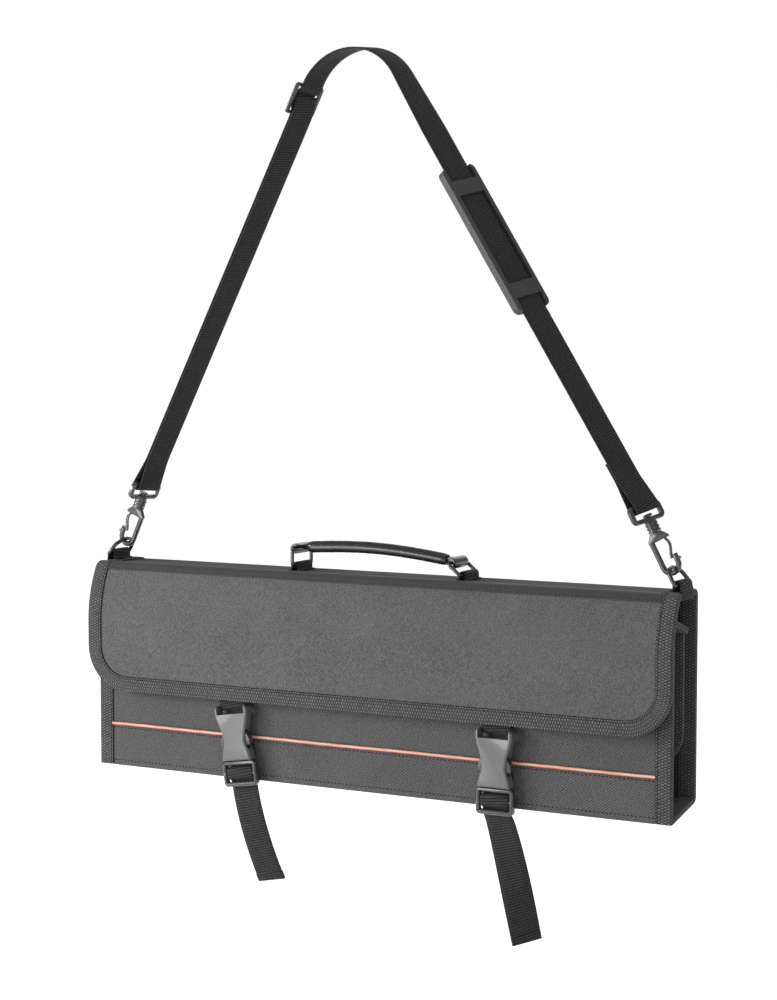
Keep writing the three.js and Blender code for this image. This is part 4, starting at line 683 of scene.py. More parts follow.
class NodeBench:
    """The node tree of a material or a world, cleared for new nodes."""

    def __init__(self, holder):
        holder.use_nodes = True
        self.tree = holder.node_tree
        self.tree.nodes.clear()

    def add(self, kind, settings=None, values=None):
        """Adds any node, sets its properties and feeds its inputs."""
        node = self.tree.nodes.new(kind)
        for key, value in (settings or {}).items():
            setattr(node, key, value)
        for key, value in (values or {}).items():
            self.feed(node.inputs[key], value)
        return node

    def feed(self, socket, value):
        """Links a socket, or sets its value."""
        if isinstance(value, Thread):
            self.tree.links.new(value.socket, socket)
        elif isinstance(value, bpy.types.NodeSocket):
            self.tree.links.new(value, socket)
        else:
            socket.default_value = value

    def ray(self, kind):
        """1 for rays of that kind, 0 for others."""
        return Thread(self, self.add("ShaderNodeLightPath").outputs[f"Is {kind} Ray"])


class Loom(NodeBench):
    """The node tree of one finish."""

    def __init__(self, name):
        self.material = bpy.data.materials.new(name)
        super().__init__(self.material)
        self.shader = self.add("ShaderNodeBsdfPrincipled")
        self.add("ShaderNodeOutputMaterial", values={"Surface": self.shader.outputs[0]})

    def cloth_millimetres(self):
        """Distances along and across the cloth, from its UV map."""
        uv = self.add("ShaderNodeUVMap", {"uv_map": "UVMap"})
        split = self.add("ShaderNodeSeparateXYZ", values={"Vector": uv.outputs[0]})
        return Thread(self, split.outputs[0]) / MM, Thread(self, split.outputs[1]) / MM

    def place(self):
        """Where a point lies on the piece, in metres."""
        return self.add("ShaderNodeTexCoord").outputs["Object"]

    def noise(self, size, detail=2.0, vector=None):
        """Uneven patches of about one size, in millimetres, between 0 and 1."""
        where = self.place() if vector is None else vector
        values = {"Vector": where, "Scale": 1 / (size * MM), "Detail": detail}
        return Thread(self, self.add("ShaderNodeTexNoise", values=values).outputs[0])

    def mix(self, share, first, second):
        """The first colour at share 0 and the second at share 1."""
        settings = {"data_type": "RGBA", "clamp_factor": True}
        return self.add("ShaderNodeMix", settings, {0: share, 6: first, 7: second}).outputs[2]

    def bump(self, height, depth, strength):
        """Depth in millimetres between height 0 and height 1."""
        values = {"Strength": strength, "Distance": depth * MM, "Height": height}
        self.feed(self.shader.inputs["Normal"], self.add("ShaderNodeBump", values=values).outputs[0])

    def set(self, **values):
        """Feeds inputs of the shader, named in lower case, and gives the material."""
        for key, value in values.items():
            self.feed(self.shader.inputs[key.replace("_", " ").title()], value)
        return self.material


def tint(colour, factor):
    """A colour made paler or deeper, with full cover."""
    return (*[min(1.0, c * factor) for c in colour[:3]], 1.0)


def sheen(loom, weight, rough=0.5):
    """The soft rim of light on cloth, with weak reflections."""
    loom.shader.inputs["Sheen Weight"].default_value = weight
    loom.shader.inputs["Sheen Roughness"].default_value = rough
    loom.shader.inputs["Specular IOR Level"].default_value = 0.25


def twill_finish(name, colour, pitch=1.9, contrast=1.0, rough=0.82, painted_shade_from=None):
    """Diagonal twill with melange yarns, laid along the cloth. The last argument gives a distance
    across it, past which the cloth is darkened as painted shade on the case's top."""
    loom = Loom(name)
    u, v = loom.cloth_millimetres()
    rib = (u * 0.75 + v).wave(pitch)
    yarn = (u - v * 0.35).wave(pitch * 0.8)
    speck = ((loom.noise(1.25, 1.0) - 0.5) * 3.6 + 0.5).clamp()
    patch = loom.noise(42, 3.0)
    dust = loom.noise(6, 2.0)
    weave = rib * 0.52 + yarn * 0.24 + speck * 0.36
    share = weave * 0.84 + patch * 0.2 + dust * 0.08 - 0.12
    deep, pale = tint(colour, 1 - 0.85 * contrast), tint(colour, 1 + 1.15 * contrast)
    dye_and_painted_shade = loom.mix(share, deep, pale)
    # painted shade: past this distance across the cloth the colour is darkened, standing for the shade
    # that lies on the case's top
    if painted_shade_from is not None:
        edge = v.step(painted_shade_from, painted_shade_from + 0.6)
        dye_and_painted_shade = loom.mix(edge, dye_and_painted_shade, loom.mix(share, tint(colour, 0.1), tint(colour, 0.5)))
    loom.bump(weave, 0.2, 0.6)
    sheen(loom, 0.08)
    return loom.set(base_color=dye_and_painted_shade, roughness=speck * 0.12 + (rough - 0.06))


def ribbed_finish(name, colour, pitch, across, contrast, depth, rough=0.8, shift=0.5, lip=None):
    """Cross ribs of short floats, as on webbing and binding tape. Each column's floats are shifted by
    a share of the pitch. A lip is painted shade: a near-black line of that width along the last edge,
    standing for the binding's shadow and the gap beside it."""
    loom = Loom(name)
    u, v = loom.cloth_millimetres()
    row = (v / across).floor()
    rib = (u + row * (pitch * shift)).wave(pitch) ** 1.3
    gap = (v / across).fraction().wave(1.0, -math.pi / 2)
    speck = ((loom.noise(1.4, 1.0) - 0.5) * 3.0 + 0.5).clamp()
    patch = loom.noise(18, 2.0)
    weave = rib * (gap * 0.6 + 0.4) * (speck * 0.9 + 0.4)
    share = weave * 0.9 + patch * 0.2 - 0.02
    loom.bump(weave, depth, 0.8)
    sheen(loom, 0.08)
    deep, pale = tint(colour, 1 - 0.8 * contrast), tint(colour, 1 + 1.7 * contrast)
    dye_and_painted_shade = loom.mix(share, deep, pale)
    # painted shade: a near-black line along the tape's inner edge stands for the shadow and gap there
    if lip is not None:
        dye_and_painted_shade = loom.mix(v.step(-lip - 0.25, -lip), dye_and_painted_shade, tint(colour, 0.08))
    return loom.set(base_color=dye_and_painted_shade, roughness=rough + speck * 0.1)


def plain_weave_finish(name, colour, pitch=0.9):
    """Close weave of the lining, one thread over and one under."""
    loom = Loom(name)
    u, v = loom.cloth_millimetres()
    weave = u.wave(pitch) * v.wave(pitch) + (1 - u.wave(pitch)) * (1 - v.wave(pitch))
    patch = loom.noise(25, 2.0)
    loom.bump(weave, 0.1, 0.4)
    sheen(loom, 0.1)
    share = weave * 0.5 + patch * 0.4
    return loom.set(base_color=loom.mix(share, tint(colour, 0.75), tint(colour, 1.3)), roughness=0.85)


def felt_finish(name, colour):
    """Pressed felt with loose fibres."""
    loom = Loom(name)
    fibre = loom.noise(0.7, 4.0)
    patch = loom.noise(12, 3.0)
    loom.bump(fibre, 0.3, 0.5)
    sheen(loom, 0.2)
    share = fibre * 0.6 + patch * 0.4
    return loom.set(base_color=loom.mix(share, tint(colour, 0.7), tint(colour, 1.25)), roughness=0.95)


def board_finish(name, colour):
    """Pressed board with a grain along the case."""
    loom = Loom(name)
    stretched = loom.add("ShaderNodeMapping", values={"Vector": loom.place(), "Scale": (0.2, 1, 1)})
    grain = loom.noise(1.2, 4.0, stretched.outputs[0])
    patch = loom.noise(30, 3.0)
    loom.bump(grain, 0.12, 0.4)
    share = grain * 0.5 + patch * 0.5
    return loom.set(base_color=loom.mix(share, tint(colour, 0.8), tint(colour, 1.15)), roughness=0.75)


def piping_finish(name, colour):
    """Close cover of fine thread wound round a cord, with a painted highlight along the crown and
    painted shade below it.
    """
    loom = Loom(name)
    u, v = loom.cloth_millimetres()
    thread = (u + v * 0.4).wave(0.9)
    patch = loom.noise(9, 3.0)
    # patches that vary the strength of the painted highlight on the crown
    wear_and_highlight_patches = loom.noise(30, 2.0).step(0.35, 0.65)
    loom.bump(thread, 0.1, 0.4)
    sheen(loom, 0.2, 0.4)
    round_cord = v / (PIPING / 2)
    # painted highlight: a band round the crown of the cord; painted shade: the band below it
    crown = round_cord.step(1.9, 2.6) * (1 - round_cord.step(3.0, 3.7))
    below = round_cord.step(3.7, 4.5)
    body = loom.mix(thread * 0.35 + patch * 0.4, tint(colour, 0.9), tint(colour, 1.2))
    # the pale colour is the painted highlight, and the dark red is the painted shade under the cord
    pale = tuple(0.4 * c + 0.6 for c in colour[:3]) + (1.0,)
    lit = loom.mix(crown * (wear_and_highlight_patches * 0.45 + 0.55), body, pale)
    painted_shade_red = (colour[0] * 0.62, colour[1] * 0.28, colour[2] * 0.18, 1.0)
    return loom.set(base_color=loom.mix(below * 0.8, lit, painted_shade_red), roughness=0.55 + patch * 0.1)


def moulded_finish(name, colour, rough, coat, grain=0.5):
    """Moulded plastic: fine spark texture, a little flow mottling and dull worn patches."""
    loom = Loom(name)
    spark = loom.noise(0.45, 2.0)
    flow = loom.noise(14, 3.0)
    wear_and_highlight_patches = loom.noise(5, 4.0).step(0.52, 0.72)
    loom.bump(spark, 0.03 * grain, 0.5)
    share = flow * 0.6 + spark * 0.2 + wear_and_highlight_patches * 0.15
    dye_and_painted_shade = loom.mix(share, tint(colour, 0.82), tint(colour, 1.22))
    loom.shader.inputs["Coat Weight"].default_value = coat
    return loom.set(base_color=dye_and_painted_shade, roughness=rough + wear_and_highlight_patches * 0.12 + spark * 0.05)


def wire_finish(name, colour):
    """Dark nickel plating with fine drawing marks and worn bright spots."""
    loom = Loom(name)
    marks = loom.noise(0.5, 2.0)
    worn = loom.noise(4, 4.0).step(0.55, 0.75)
    loom.bump(marks, 0.01, 0.4)
    share = worn * 0.7 + marks * 0.2
    dye_and_painted_shade = loom.mix(share, tint(colour, 0.8), tint(colour, 1.7))
    return loom.set(base_color=dye_and_painted_shade, metallic=0.85 + worn * 0.1, roughness=0.24 + marks * 0.12)


def vinyl_finish(name, colour):
    """Glossy black vinyl with soft creases across the grip."""
    loom = Loom(name)
    along_grip = {"Vector": loom.place(), "Scale": (1.6, 0.25, 0.5)}
    stretched = loom.add("ShaderNodeMapping", values=along_grip)
    crease = loom.noise(5, 2.0, stretched.outputs[0]).step(0.45, 0.75)
    grain = loom.noise(0.7, 2.0)
    loom.bump(crease * 0.7 + grain * 0.12, 0.22, 0.45)
    loom.shader.inputs["Coat Weight"].default_value = 0.35
    loom.shader.inputs["Coat Roughness"].default_value = 0.12
    dye_and_painted_shade = loom.mix(grain * 0.5 + crease * 0.4, tint(colour, 0.7), tint(colour, 1.5))
    return loom.set(base_color=dye_and_painted_shade, roughness=0.26 + grain * 0.08)


def rubber_finish(name, colour):
    """Dull rubber with fine grain and paler scuffs."""
    loom = Loom(name)
    grain = loom.noise(0.8, 3.0)
    scuff = loom.noise(11, 4.0).step(0.5, 0.75)
    loom.bump(grain, 0.05, 0.5)
    dye_and_painted_shade = loom.mix(scuff * 0.5 + grain * 0.35, tint(colour, 0.8), tint(colour, 1.3))
    return loom.set(base_color=dye_and_painted_shade, roughness=0.5 + scuff * 0.15)


def thread_finish(name, colour):
    """Thread whose plies catch the light."""
    loom = Loom(name)
    ply = loom.noise(0.4, 2.0)
    loom.bump(ply, 0.08, 0.5)
    sheen(loom, 0.2)
    return loom.set(base_color=loom.mix(ply, tint(colour, 0.6), tint(colour, 1.5)), roughness=0.7)


FINISHES = {}


def finish_named(key, colours):
    """Makes each finish once, in the colours that the panel holds."""
    if key in FINISHES:
        return FINISHES[key]
    made = {
        "cloth": lambda: twill_finish("charcoal_twill", colours.cloth),
        # the shell's twill has painted shade darkening it over the case's top
        "shell_cloth": lambda: twill_finish("shell_twill_painted_shade", colours.cloth, painted_shade_from=SHELL_TOP),
        "lower_cloth": lambda: twill_finish("front_twill", tint(colours.cloth, 0.86), pitch=2.2),
        "band": lambda: twill_finish("dark_band", colours.band, pitch=1.5, contrast=0.7, rough=0.7),
        # the binding's lip is a painted shadow line along its inner edge
        "tape": lambda: ribbed_finish(
            "ribbed_binding", colours.tape, pitch=2.3, across=2.7, contrast=1.0, depth=0.45, lip=1.0
        ),
        "webbing": lambda: ribbed_finish(
            "black_webbing", colours.webbing, pitch=2.1, across=1.7, contrast=0.85, depth=0.4, shift=0.12
        ),
        "tab_webbing": lambda: ribbed_finish(
            "tab_webbing", colours.webbing, pitch=2.3, across=1.9, contrast=0.95, depth=0.45, shift=0.08
        ),
        "elastic": lambda: ribbed_finish(
            "ribbed_elastic", colours.webbing, pitch=1.5, across=1.5, contrast=0.7, depth=0.25
        ),
        "lining": lambda: plain_weave_finish("dark_lining", colours.lining),
        "felt": lambda: felt_finish("pressed_felt", (0.13, 0.118, 0.1)),
        "board": lambda: board_finish("stiffener_board", (0.147, 0.113, 0.084)),
        "piping": lambda: piping_finish("orange_piping", colours.piping),
        "buckle": lambda: moulded_finish("buckle_plastic", colours.buckle, rough=0.28, coat=0.3),
        "latch": lambda: moulded_finish(
            "latch_plastic", tint(colours.buckle, 0.35), rough=0.22, coat=0.4
        ),
        "hook": lambda: moulded_finish("hook_plastic", colours.hook, rough=0.2, coat=0.5, grain=0.6),
        "slider": lambda: moulded_finish(
            "slider_plastic", tint(colours.hook, 0.8), rough=0.3, coat=0.2
        ),
        "wire": lambda: wire_finish("dark_nickel_wire", colours.wire),
        "vinyl": lambda: vinyl_finish("glossy_vinyl", colours.vinyl),
        "rubber": lambda: rubber_finish("pad_rubber", colours.rubber),
        "thread": lambda: thread_finish("dark_thread", (0.012, 0.012, 0.013, 1)),
        "grey_thread": lambda: thread_finish("grey_thread", (0.035, 0.035, 0.037, 1)),
    }
    FINISHES[key] = made[key]()
    return FINISHES[key]


# the lines of the case's panels

ROOF_SLOPE = math.atan2(ROOF_DROP, ROOF_DEPTH)
ROOF_BEND = math.pi / 2 + ROOF_SLOPE
ROOF_REACH = SHELL_RADIUS * math.tan(ROOF_BEND / 2)
ROOF_LENGTH = math.hypot(ROOF_DEPTH, ROOF_DROP) - ROOF_REACH


def shell_line():
    """Bottom, back and top in one strip."""
    slope = math.atan2(BOTTOM_RISE, BACK_Y - FRONT_Y)
    start = FRONT_Y + PANEL + PROUD + PANEL_END_GAP + (PANEL + PROUD) * math.sin(slope)
    reach = SHELL_RADIUS * math.tan((math.pi / 2 - slope) / 2)
    line = PanelLine(start, (start - FRONT_Y) * math.tan(slope), slope - math.pi)
    line.line((BACK_Y - start) / math.cos(slope) - reach)
    line.bend(SHELL_RADIUS, -math.pi / 2)
    line.line(TOP_HEIGHT - BOTTOM_RISE - reach - SHELL_RADIUS)
    line.bend(SHELL_RADIUS, 0)
    line.line(BACK_Y - SHELL_RADIUS - FOLD_Y - PANEL_END_GAP)
    return line


def flap_line():
    """Over the fold, down in a wide bulge and then straight."""
    line = PanelLine(FOLD_Y, TOP_HEIGHT, 0)
    line.bend(FOLD_RADIUS, FOLD_TURN)
    line.bend(BULGE_RADIUS, 90 * DEGREE, BULGE_STEP)
    line.line(line.rows[-1][2] - FLAP_BOTTOM)
    return line


def fold_line():
    """The band's line over the fold, with where the fold begins and where the band ends."""
    line = PanelLine(FOLD_Y + BAND_BACK, TOP_HEIGHT, 0)
    turn = line.line(BAND_BACK)
    line.bend(FOLD_RADIUS, FOLD_TURN)
    line.bend(BULGE_RADIUS, BAND_TURN, BULGE_STEP)
    return line, turn, turn + BAND_LENGTH


def front_line():
    """Forward along the inner roof, round its bend and down the front."""
    line = PanelLine(FRONT_Y + ROOF_DEPTH, FRONT_HEIGHT - ROOF_DROP, -ROOF_SLOPE)
    line.line(ROOF_LENGTH)
    line.bend(SHELL_RADIUS, math.pi / 2)
    line.line(FRONT_HEIGHT - ROOF_REACH)
    return line


def inner_line():
    """Straight down behind the roof's back edge."""
    top = FRONT_HEIGHT - ROOF_DROP - PANEL - PROUD - PANEL_END_GAP
    line = PanelLine(FRONT_Y + ROOF_DEPTH - INNER_SET_BACK, top, math.pi / 2)
    line.line(INNER_LENGTH)
    return line


SHELL, FLAP, FRONT, INNER = shell_line(), flap_line(), front_line(), inner_line()
FLAP_Y = FLAP.rows[-1][1]
PIPING_PLACE = FRONT.end - PIPING_HEIGHT
# SHELL_TOP is where the painted shade on the shell's cloth begins, along its line
SHELL_TOP = SHELL.end - (BACK_Y - FOLD_Y) + TOP_SHADE_MARGIN


def lean_in(lean, side):
    """Direction up along a piece that leans towards the case's middle."""
    return np.array([-side * math.sin(lean), 0, math.cos(lean)])


def lean_out(lean, side):
    """Direction across such a piece, away from the case's middle."""
    return np.array([side * math.cos(lean), 0, math.sin(lean)])


# stitching


def from_lowest(face):
    """A face's corners in the same turn, from the lowest, because the sphere's order varies."""
    start = face.index(min(face))
    return face[start:] + face[:start]


def stitch_rows(name, rows, finish, slot, body, pitch=3.5, length=2.6, width=0.8, height=0.6):
    """One small sphere primitive, drawn out to a stitch and repeated along rows of
    (points, outward normals)."""
    clear_selection()
    bpy.ops.mesh.primitive_uv_sphere_add(segments=6, ring_count=4, radius=0.5)
    seed = bpy.context.object
    corners = np.array([v.co for v in seed.data.vertices]) * (width, height, length)
    faces = sorted(from_lowest(tuple(p.vertices)) for p in seed.data.polygons)
    points, polygons = [], []
    for line, normals in rows:
        gaps = np.linalg.norm(np.diff(line, axis=0), axis=1)
        along = np.concatenate([[0], np.cumsum(gaps)])
        count = max(1, int(along[-1] / pitch))
        for place in (np.arange(count) + 0.5) * along[-1] / count:
            here, ahead, behind, out = (
                np.array([np.interp(at, along, source[:, i]) for i in range(3)])
                for at, source in (
                    (place, line),
                    (min(place + STITCH_AIM, along[-1]), line),
                    (max(place - STITCH_AIM, 0), line),
                    (place, normals),
                )
            )
            run = unit(ahead - behind)
            out = unit(out - run * out.dot(run))
            basis = np.array([np.cross(run, out), out, run])
            polygons.extend(tuple(i + len(points) for i in f) for f in faces)
            points.extend(here + corners @ basis)
    mesh = bpy.data.meshes.new(name)
    mesh.from_pydata(((np.array(points) + CASE_ORIGIN) * MM).tolist(), [], polygons)
    old = seed.data
    seed.data = mesh
    seed.name = name
    bpy.data.meshes.remove(old)
    return settle(seed, finish, body, angle=80)


def row_on(line, x, s, depth):
    """A row of stitches on a panel, at one depth."""
    x, s = np.broadcast_arrays(np.asarray(x, float), np.asarray(s, float))
    points = line.points(x, s, depth)
    return points, line.points(x, s, depth - 1.0) - points


def straight_row(points, out):
    """A row of stitches through points, all facing the same way."""
    return np.array(points, float), np.repeat([out], len(points), 0)


def box_stitches(place, half_width, low, high, depth, out):
    """A sewn rectangle, in a turned frame's x and z at one depth."""
    ring = [(-half_width, low), (half_width, low), (half_width, high), (-half_width, high)]
    rows = []
    for (a, b), (c, d) in zip(ring, ring[1:] + ring[:1]):
        line = np.array([(a, depth, b), ((a + c) / 2, depth, (b + d) / 2), (c, depth, d)])
        rows.append(straight_row(place.points(line), place.vectors((0, out, 0))))
    return rows


def bind(name, line, edge, thickness, size, dye, body, node):
    """Sews a binding tape round an edge, and gives the rows of stitches on both of its faces."""
    tape = tape_round(name, line, edge, thickness, size.tape_crown)
    settle(tape, finish_named("tape", dye), body, [node])
    x, s, nx, ns = np.array(edge).T
    x, s = x - STITCH_INSET * nx, s - STITCH_INSET * ns
    return [row_on(line, x, s, depth) for depth in (-PROUD, thickness + PROUD)]


# pieces of the case


def make_shell(size, dye):
    """The bottom, back and top: cloth, lining, boards and bound ends."""
    flat = (2 * HALF_LENGTH * MM, SHELL.end * MM)
    cover = sheet("shell_cover", SHELL, 0, SHELL.end, HALF_LENGTH, 0, CLOTH, crown=size.crown)
    settle(cover, finish_named("shell_cloth", dye), "case", ["shell_cloth"])
    lining = sheet("shell_inner_lining", SHELL, 0, SHELL.end, HALF_LENGTH, PANEL - LINING, LINING)
    settle(lining, finish_named("lining", dye), "case", ["shell_lining"])
    for node in ("bottom_board", "back_board", "top_board"):
        dress_node(node, finish_named("board", dye))
    rows = []
    for name, side in SIDES:
        edge = side_edge(SHELL, HALF_LENGTH, side)
        tape, node = f"shell_edge_tape_{name}", f"shell_binding_{name}"
        rows += bind(tape, SHELL, edge, PANEL, size, dye, "case", node)
    stitch_rows("shell_stitching", rows, finish_named("thread", dye), "binding_tape", "case")


def dress_node(node, finish):
    """A CAD node whose shape stays gets its finish in its material slots."""
    mesh = frame["nodes"][node].data
    mesh.materials.clear()
    mesh.materials.append(finish)


def make_elastic(dye):
    """Two bands sewn to the back's lining between eight loops for knives."""
    finish, grey = finish_named("elastic", dye), finish_named("grey_thread", dye)
    y = BACK_Y - PANEL - SEAT_GAP - ELASTIC / 2
    start = -LOOPS * LOOP_PITCH / 2
    share = np.linspace(0, 1, 13)
    span = (LOOP_PITCH - 2 * LOOP_SEAM) * share
    for name, height in (("low", LOW_ELASTIC_Z), ("high", HIGH_ELASTIC_Z)):
        points = [(start - LOOP_SEAM, 0.0)]
        for i in range(LOOPS):
            along = i * LOOP_PITCH + start + LOOP_SEAM + span
            points += list(zip(along, LOOP_RISE * np.sin(math.pi * share)))
        points.append((LOOP_SEAM - start, 0.0))
        course = Course.flat(points, (0, y, height), X_AXIS, -Y_AXIS, Z_AXIS)
        band = ribbon(f"knife_elastic_{name}", course, ELASTIC_WIDTH, ELASTIC)
        settle(band, finish, "case", [f"elastic_{name}"])
        rows = []
        for i in range(LOOPS + 1):
            for off in (-LOOP_STITCH_X, LOOP_STITCH_X):
                x = i * LOOP_PITCH + start + off
                face = y - ELASTIC / 2 - THREAD_LIFT
                line = [(x, face, height + z) for z in (-LOOP_STITCH_Z, 0, LOOP_STITCH_Z)]
                rows.append(straight_row(line, -Y_AXIS))
        stitch_rows(f"elastic_stitching_{name}", rows, grey, "elastic", "case")


def make_flap(size, dye):
    """The flap's cloth, lining, felt and binding, and what bridges its fold."""
    half = rounded_half(FLAP_HALF, FLAP.end, FLAP_CORNER)
    stops = rounded_stops(FLAP, 0, FLAP.end, FLAP_CORNER)
    flat, area = (2 * FLAP_HALF * MM, FLAP.end * MM), rounded_area(FLAP_HALF, FLAP.end, FLAP_CORNER)
    cover = sheet("flap_cover", FLAP, 0, FLAP.end, half, 0, CLOTH, stops, size.crown)
    settle(cover, finish_named("cloth", dye), "flap", ["flap_cloth"])
    lining = sheet("flap_inner_lining", FLAP, 0, FLAP.end, half, PANEL - LINING, LINING, stops)
    settle(lining, finish_named("lining", dye), "flap", ["flap_lining"])
    start, end, corner = FOLD_RADIUS * FOLD_TURN, FLAP.end - BOARD_INSET, FLAP_CORNER - BOARD_INSET
    half = rounded_half(FLAP_HALF - BOARD_INSET, end, corner)
    stops = rounded_stops(FLAP, start, end, corner)
    felt = sheet("flap_felt", FLAP, start, end, half, FELT_DEPTH, FELT, stops)
    settle(felt, finish_named("felt", dye), "flap", ["flap_board"])
    edge = loop_edge(FLAP, FLAP.end, FLAP_HALF, FLAP_CORNER)
    rows = bind("flap_edge_tape", FLAP, edge, PANEL, size, dye, "flap", "flap_binding")
    rows.insert(0, make_fold(dye))
    stitch_rows("flap_stitching", rows, finish_named("thread", dye), "binding_tape", "flap")


def make_fold(dye):
    """The band and the strip of lining that bridge the flap's fold, with the band's stitches."""
    half = FLAP_HALF - TAPE_COVER - SEAT_GAP
    fold, turn, end = fold_line()
    close = np.linspace(turn - FOLD_EASE, turn + FOLD_EASE, 13)
    stops = np.unique(np.concatenate([fold.stops(0, end), close]))
    depth = -SEAT_GAP - BAND
    bridge = ("case", "flap", (0, FOLD_Y + FOLD_BLEND, TOP_HEIGHT), (0, FOLD_Y - FOLD_BLEND, TOP_HEIGHT))
    band = sheet("fold_band", fold, 0, end, half, depth, BAND, stops, BAND_CROWN)
    settle(band, finish_named("band", dye), bridge, ["fold_tape"])
    end * MM
    low, high = turn - STRIP_REACH, turn + STRIP_REACH
    stops = np.unique(np.concatenate([fold.stops(low, high), close]))
    inside = PANEL + LAYER_GAP
    strip = sheet("fold_lining", fold, low, high, HALF_LENGTH - STRIP_INSET, inside, STRIP, stops)
    settle(strip, finish_named("lining", dye), bridge)
    x = np.linspace(BAND_STITCH_INSET - half, half - BAND_STITCH_INSET, 80)
    return row_on(fold, x, end - BAND_STITCH_UP, depth)


def make_front(size, dye):
    """The roof and front: two cloths at a piped seam, lining, felts and bound ends."""
    width, crown = 2 * HALF_LENGTH * MM, size.crown * FRONT_CROWN_SHARE
    cloth, pressed = finish_named("lower_cloth", dye), finish_named("felt", dye)
    above, below = PIPING_PLACE - SEAM_SLIT, PIPING_PLACE + SEAM_SLIT
    for name, low, high, tuck, node, rests_on in (
        ("front_cover", 0, above, (0, SEAM_TUCK), "front_cloth", ["front_felt", "roof_felt"]),
        ("front_lower_cover", below, FRONT.end, (SEAM_TUCK, 0), "front_lower_cloth", ["front_felt"]),
    ):
        cover = sheet(name, FRONT, low, high, HALF_LENGTH, 0, CLOTH, crown=crown, tuck=tuck)
        settle(cover, cloth, "front_panel", [node])
        (high - low) * MM
    lining = sheet("front_inner_lining", FRONT, 0, FRONT.end, HALF_LENGTH, PANEL - LINING, LINING)
    settle(lining, finish_named("lining", dye), "front_panel", ["front_lining"])
    FRONT.end * MM
    for name, low, high, node in (
        ("roof_felt", BOARD_INSET, ROOF_LENGTH, "roof_board"),
        ("front_felt", ROOF_LENGTH + SHELL_RADIUS * ROOF_BEND, FRONT.end - BOARD_INSET, "front_board"),
    ):
        felt = sheet(name, FRONT, low, high, HALF_LENGTH - BOARD_INSET, FELT_DEPTH, FELT)
        settle(felt, pressed, "front_panel", [node])
    make_bottom_hinge(dye)
    reach = HALF_LENGTH - TAPE_COVER + PIPING_TUCK
    make_piping(reach, dye)
    rows = []
    for name, side in SIDES:
        edge = side_edge(FRONT, HALF_LENGTH, side)
        tape, node = f"front_edge_tape_{name}", f"front_binding_{name}"
        rows += bind(tape, FRONT, edge, PANEL, size, dye, "front_panel", node)
    x = np.linspace(-reach, reach, 120)
    rows.append(row_on(FRONT, x, PIPING_PLACE + UNDER_PIPING, -size.crown * STITCH_LIFT_SHARE))
    rows.append(row_on(FRONT, x, FRONT.end - OVER_HEM, 0))
    thread = finish_named("thread", dye)
    stitch_rows("front_stitching", rows, thread, "cloth", "front_panel", width=FRONT_STITCH_WIDTH)


def make_piping(reach, dye):
    """The wrapped cord in the seam across the front, not quite straight."""
    x = np.linspace(-reach, reach, 160)
    z = PIPING_HEIGHT + 0.12 * np.sin(x * 0.05) + 0.06 * np.sin(x * 0.31)
    y = np.full_like(x, FRONT_Y + CLOTH - PIPING / 2 - SEAT_GAP)
    turn = np.linspace(0, 2 * math.pi, 15)
    section = np.stack([0 * turn, np.cos(turn), np.sin(turn)], -1) * PIPING * PIPING_RADIUS_SHARE
    table = np.stack([x, y, z], -1)[:, None, :] + section[None, :, :]
    uv = np.stack(np.meshgrid(x, turn * PIPING / 2, indexing="ij"), -1)
    cord = woven("piping_cord", table, uv, around=True)
    settle(cord, finish_named("piping", dye), "front_panel", ["piping"])


def make_bottom_hinge(dye):
    """The strip that joins the front panel's foot to the case's bottom."""
    line = PanelLine.through(*HINGE_COURSE)
    half = HALF_LENGTH - TAPE_COVER - HINGE_INSET
    turn = np.linspace(*HINGE_TURN, 9)
    stops = np.unique(np.concatenate([line.stops(0, line.end), turn]))
    strip = sheet("bottom_hinge", line, 0, line.end, half, 0, HINGE, stops)
    bridge = ("front_panel", "case", (0, *HINGE_BLEND[0]), (0, *HINGE_BLEND[1]))
    settle(strip, finish_named("lining", dye), bridge)
    line.end * MM


def make_inner_flap(size, dye):
    """The cloth and lining that hang behind the roof, bound on three sides."""
    half = rounded_half(INNER_HALF, INNER.end, INNER_CORNER)
    stops = rounded_stops(INNER, 0, INNER.end, INNER_CORNER)
    area = rounded_area(INNER_HALF, INNER.end, INNER_CORNER)
    flat = (2 * INNER_HALF * MM, INNER.end * MM)
    for name, depth, thickness, finish, slot, node in (
        ("inner_flap_front_lining", 0, LINING, "lining", "lining", "inner_flap_lining"),
        ("inner_flap_cover", LINING, CLOTH, "lower_cloth", "cloth", "inner_flap_cloth"),
    ):
        layer = sheet(name, INNER, 0, INNER.end, half, depth, thickness, stops)
        settle(layer, finish_named(finish, dye), "inner_flap", [node])
    edge = loop_edge(INNER, INNER.end, INNER_HALF, INNER_CORNER)
    tape, node, thickness = "inner_flap_edge_tape", "inner_flap_binding", CLOTH + LINING
    rows = bind(tape, INNER, edge, thickness, size, dye, "inner_flap", node)
    thread = finish_named("thread", dye)
    stitch_rows("inner_flap_stitching", rows, thread, "binding_tape", "inner_flap")


# handle, rings, hooks


def refined(node, name, finish, edge=0.35, segments=2, angle=28):
    """A rigid piece with the solid's form: a merged copy whose edges are rounded."""
    source = frame["nodes"][node]
    obj = bpy.data.objects.new(name, source.data.copy())
    obj.data.name = name
    bpy.context.scene.collection.objects.link(obj)
    in_edit(
        obj,
        lambda: bpy.ops.mesh.remove_doubles(threshold=3e-6),
        lambda: bpy.ops.mesh.dissolve_limited(angle_limit=1.0 * DEGREE),
    )
    finish_with(
        obj,
        "BEVEL",
        width=edge * MM,
        segments=segments,
        limit_method="ANGLE",
        angle_limit=angle * DEGREE,
        use_clamp_overlap=True,
    )
    return settle(obj, finish, NODE_BODY[node], [node], angle=40)


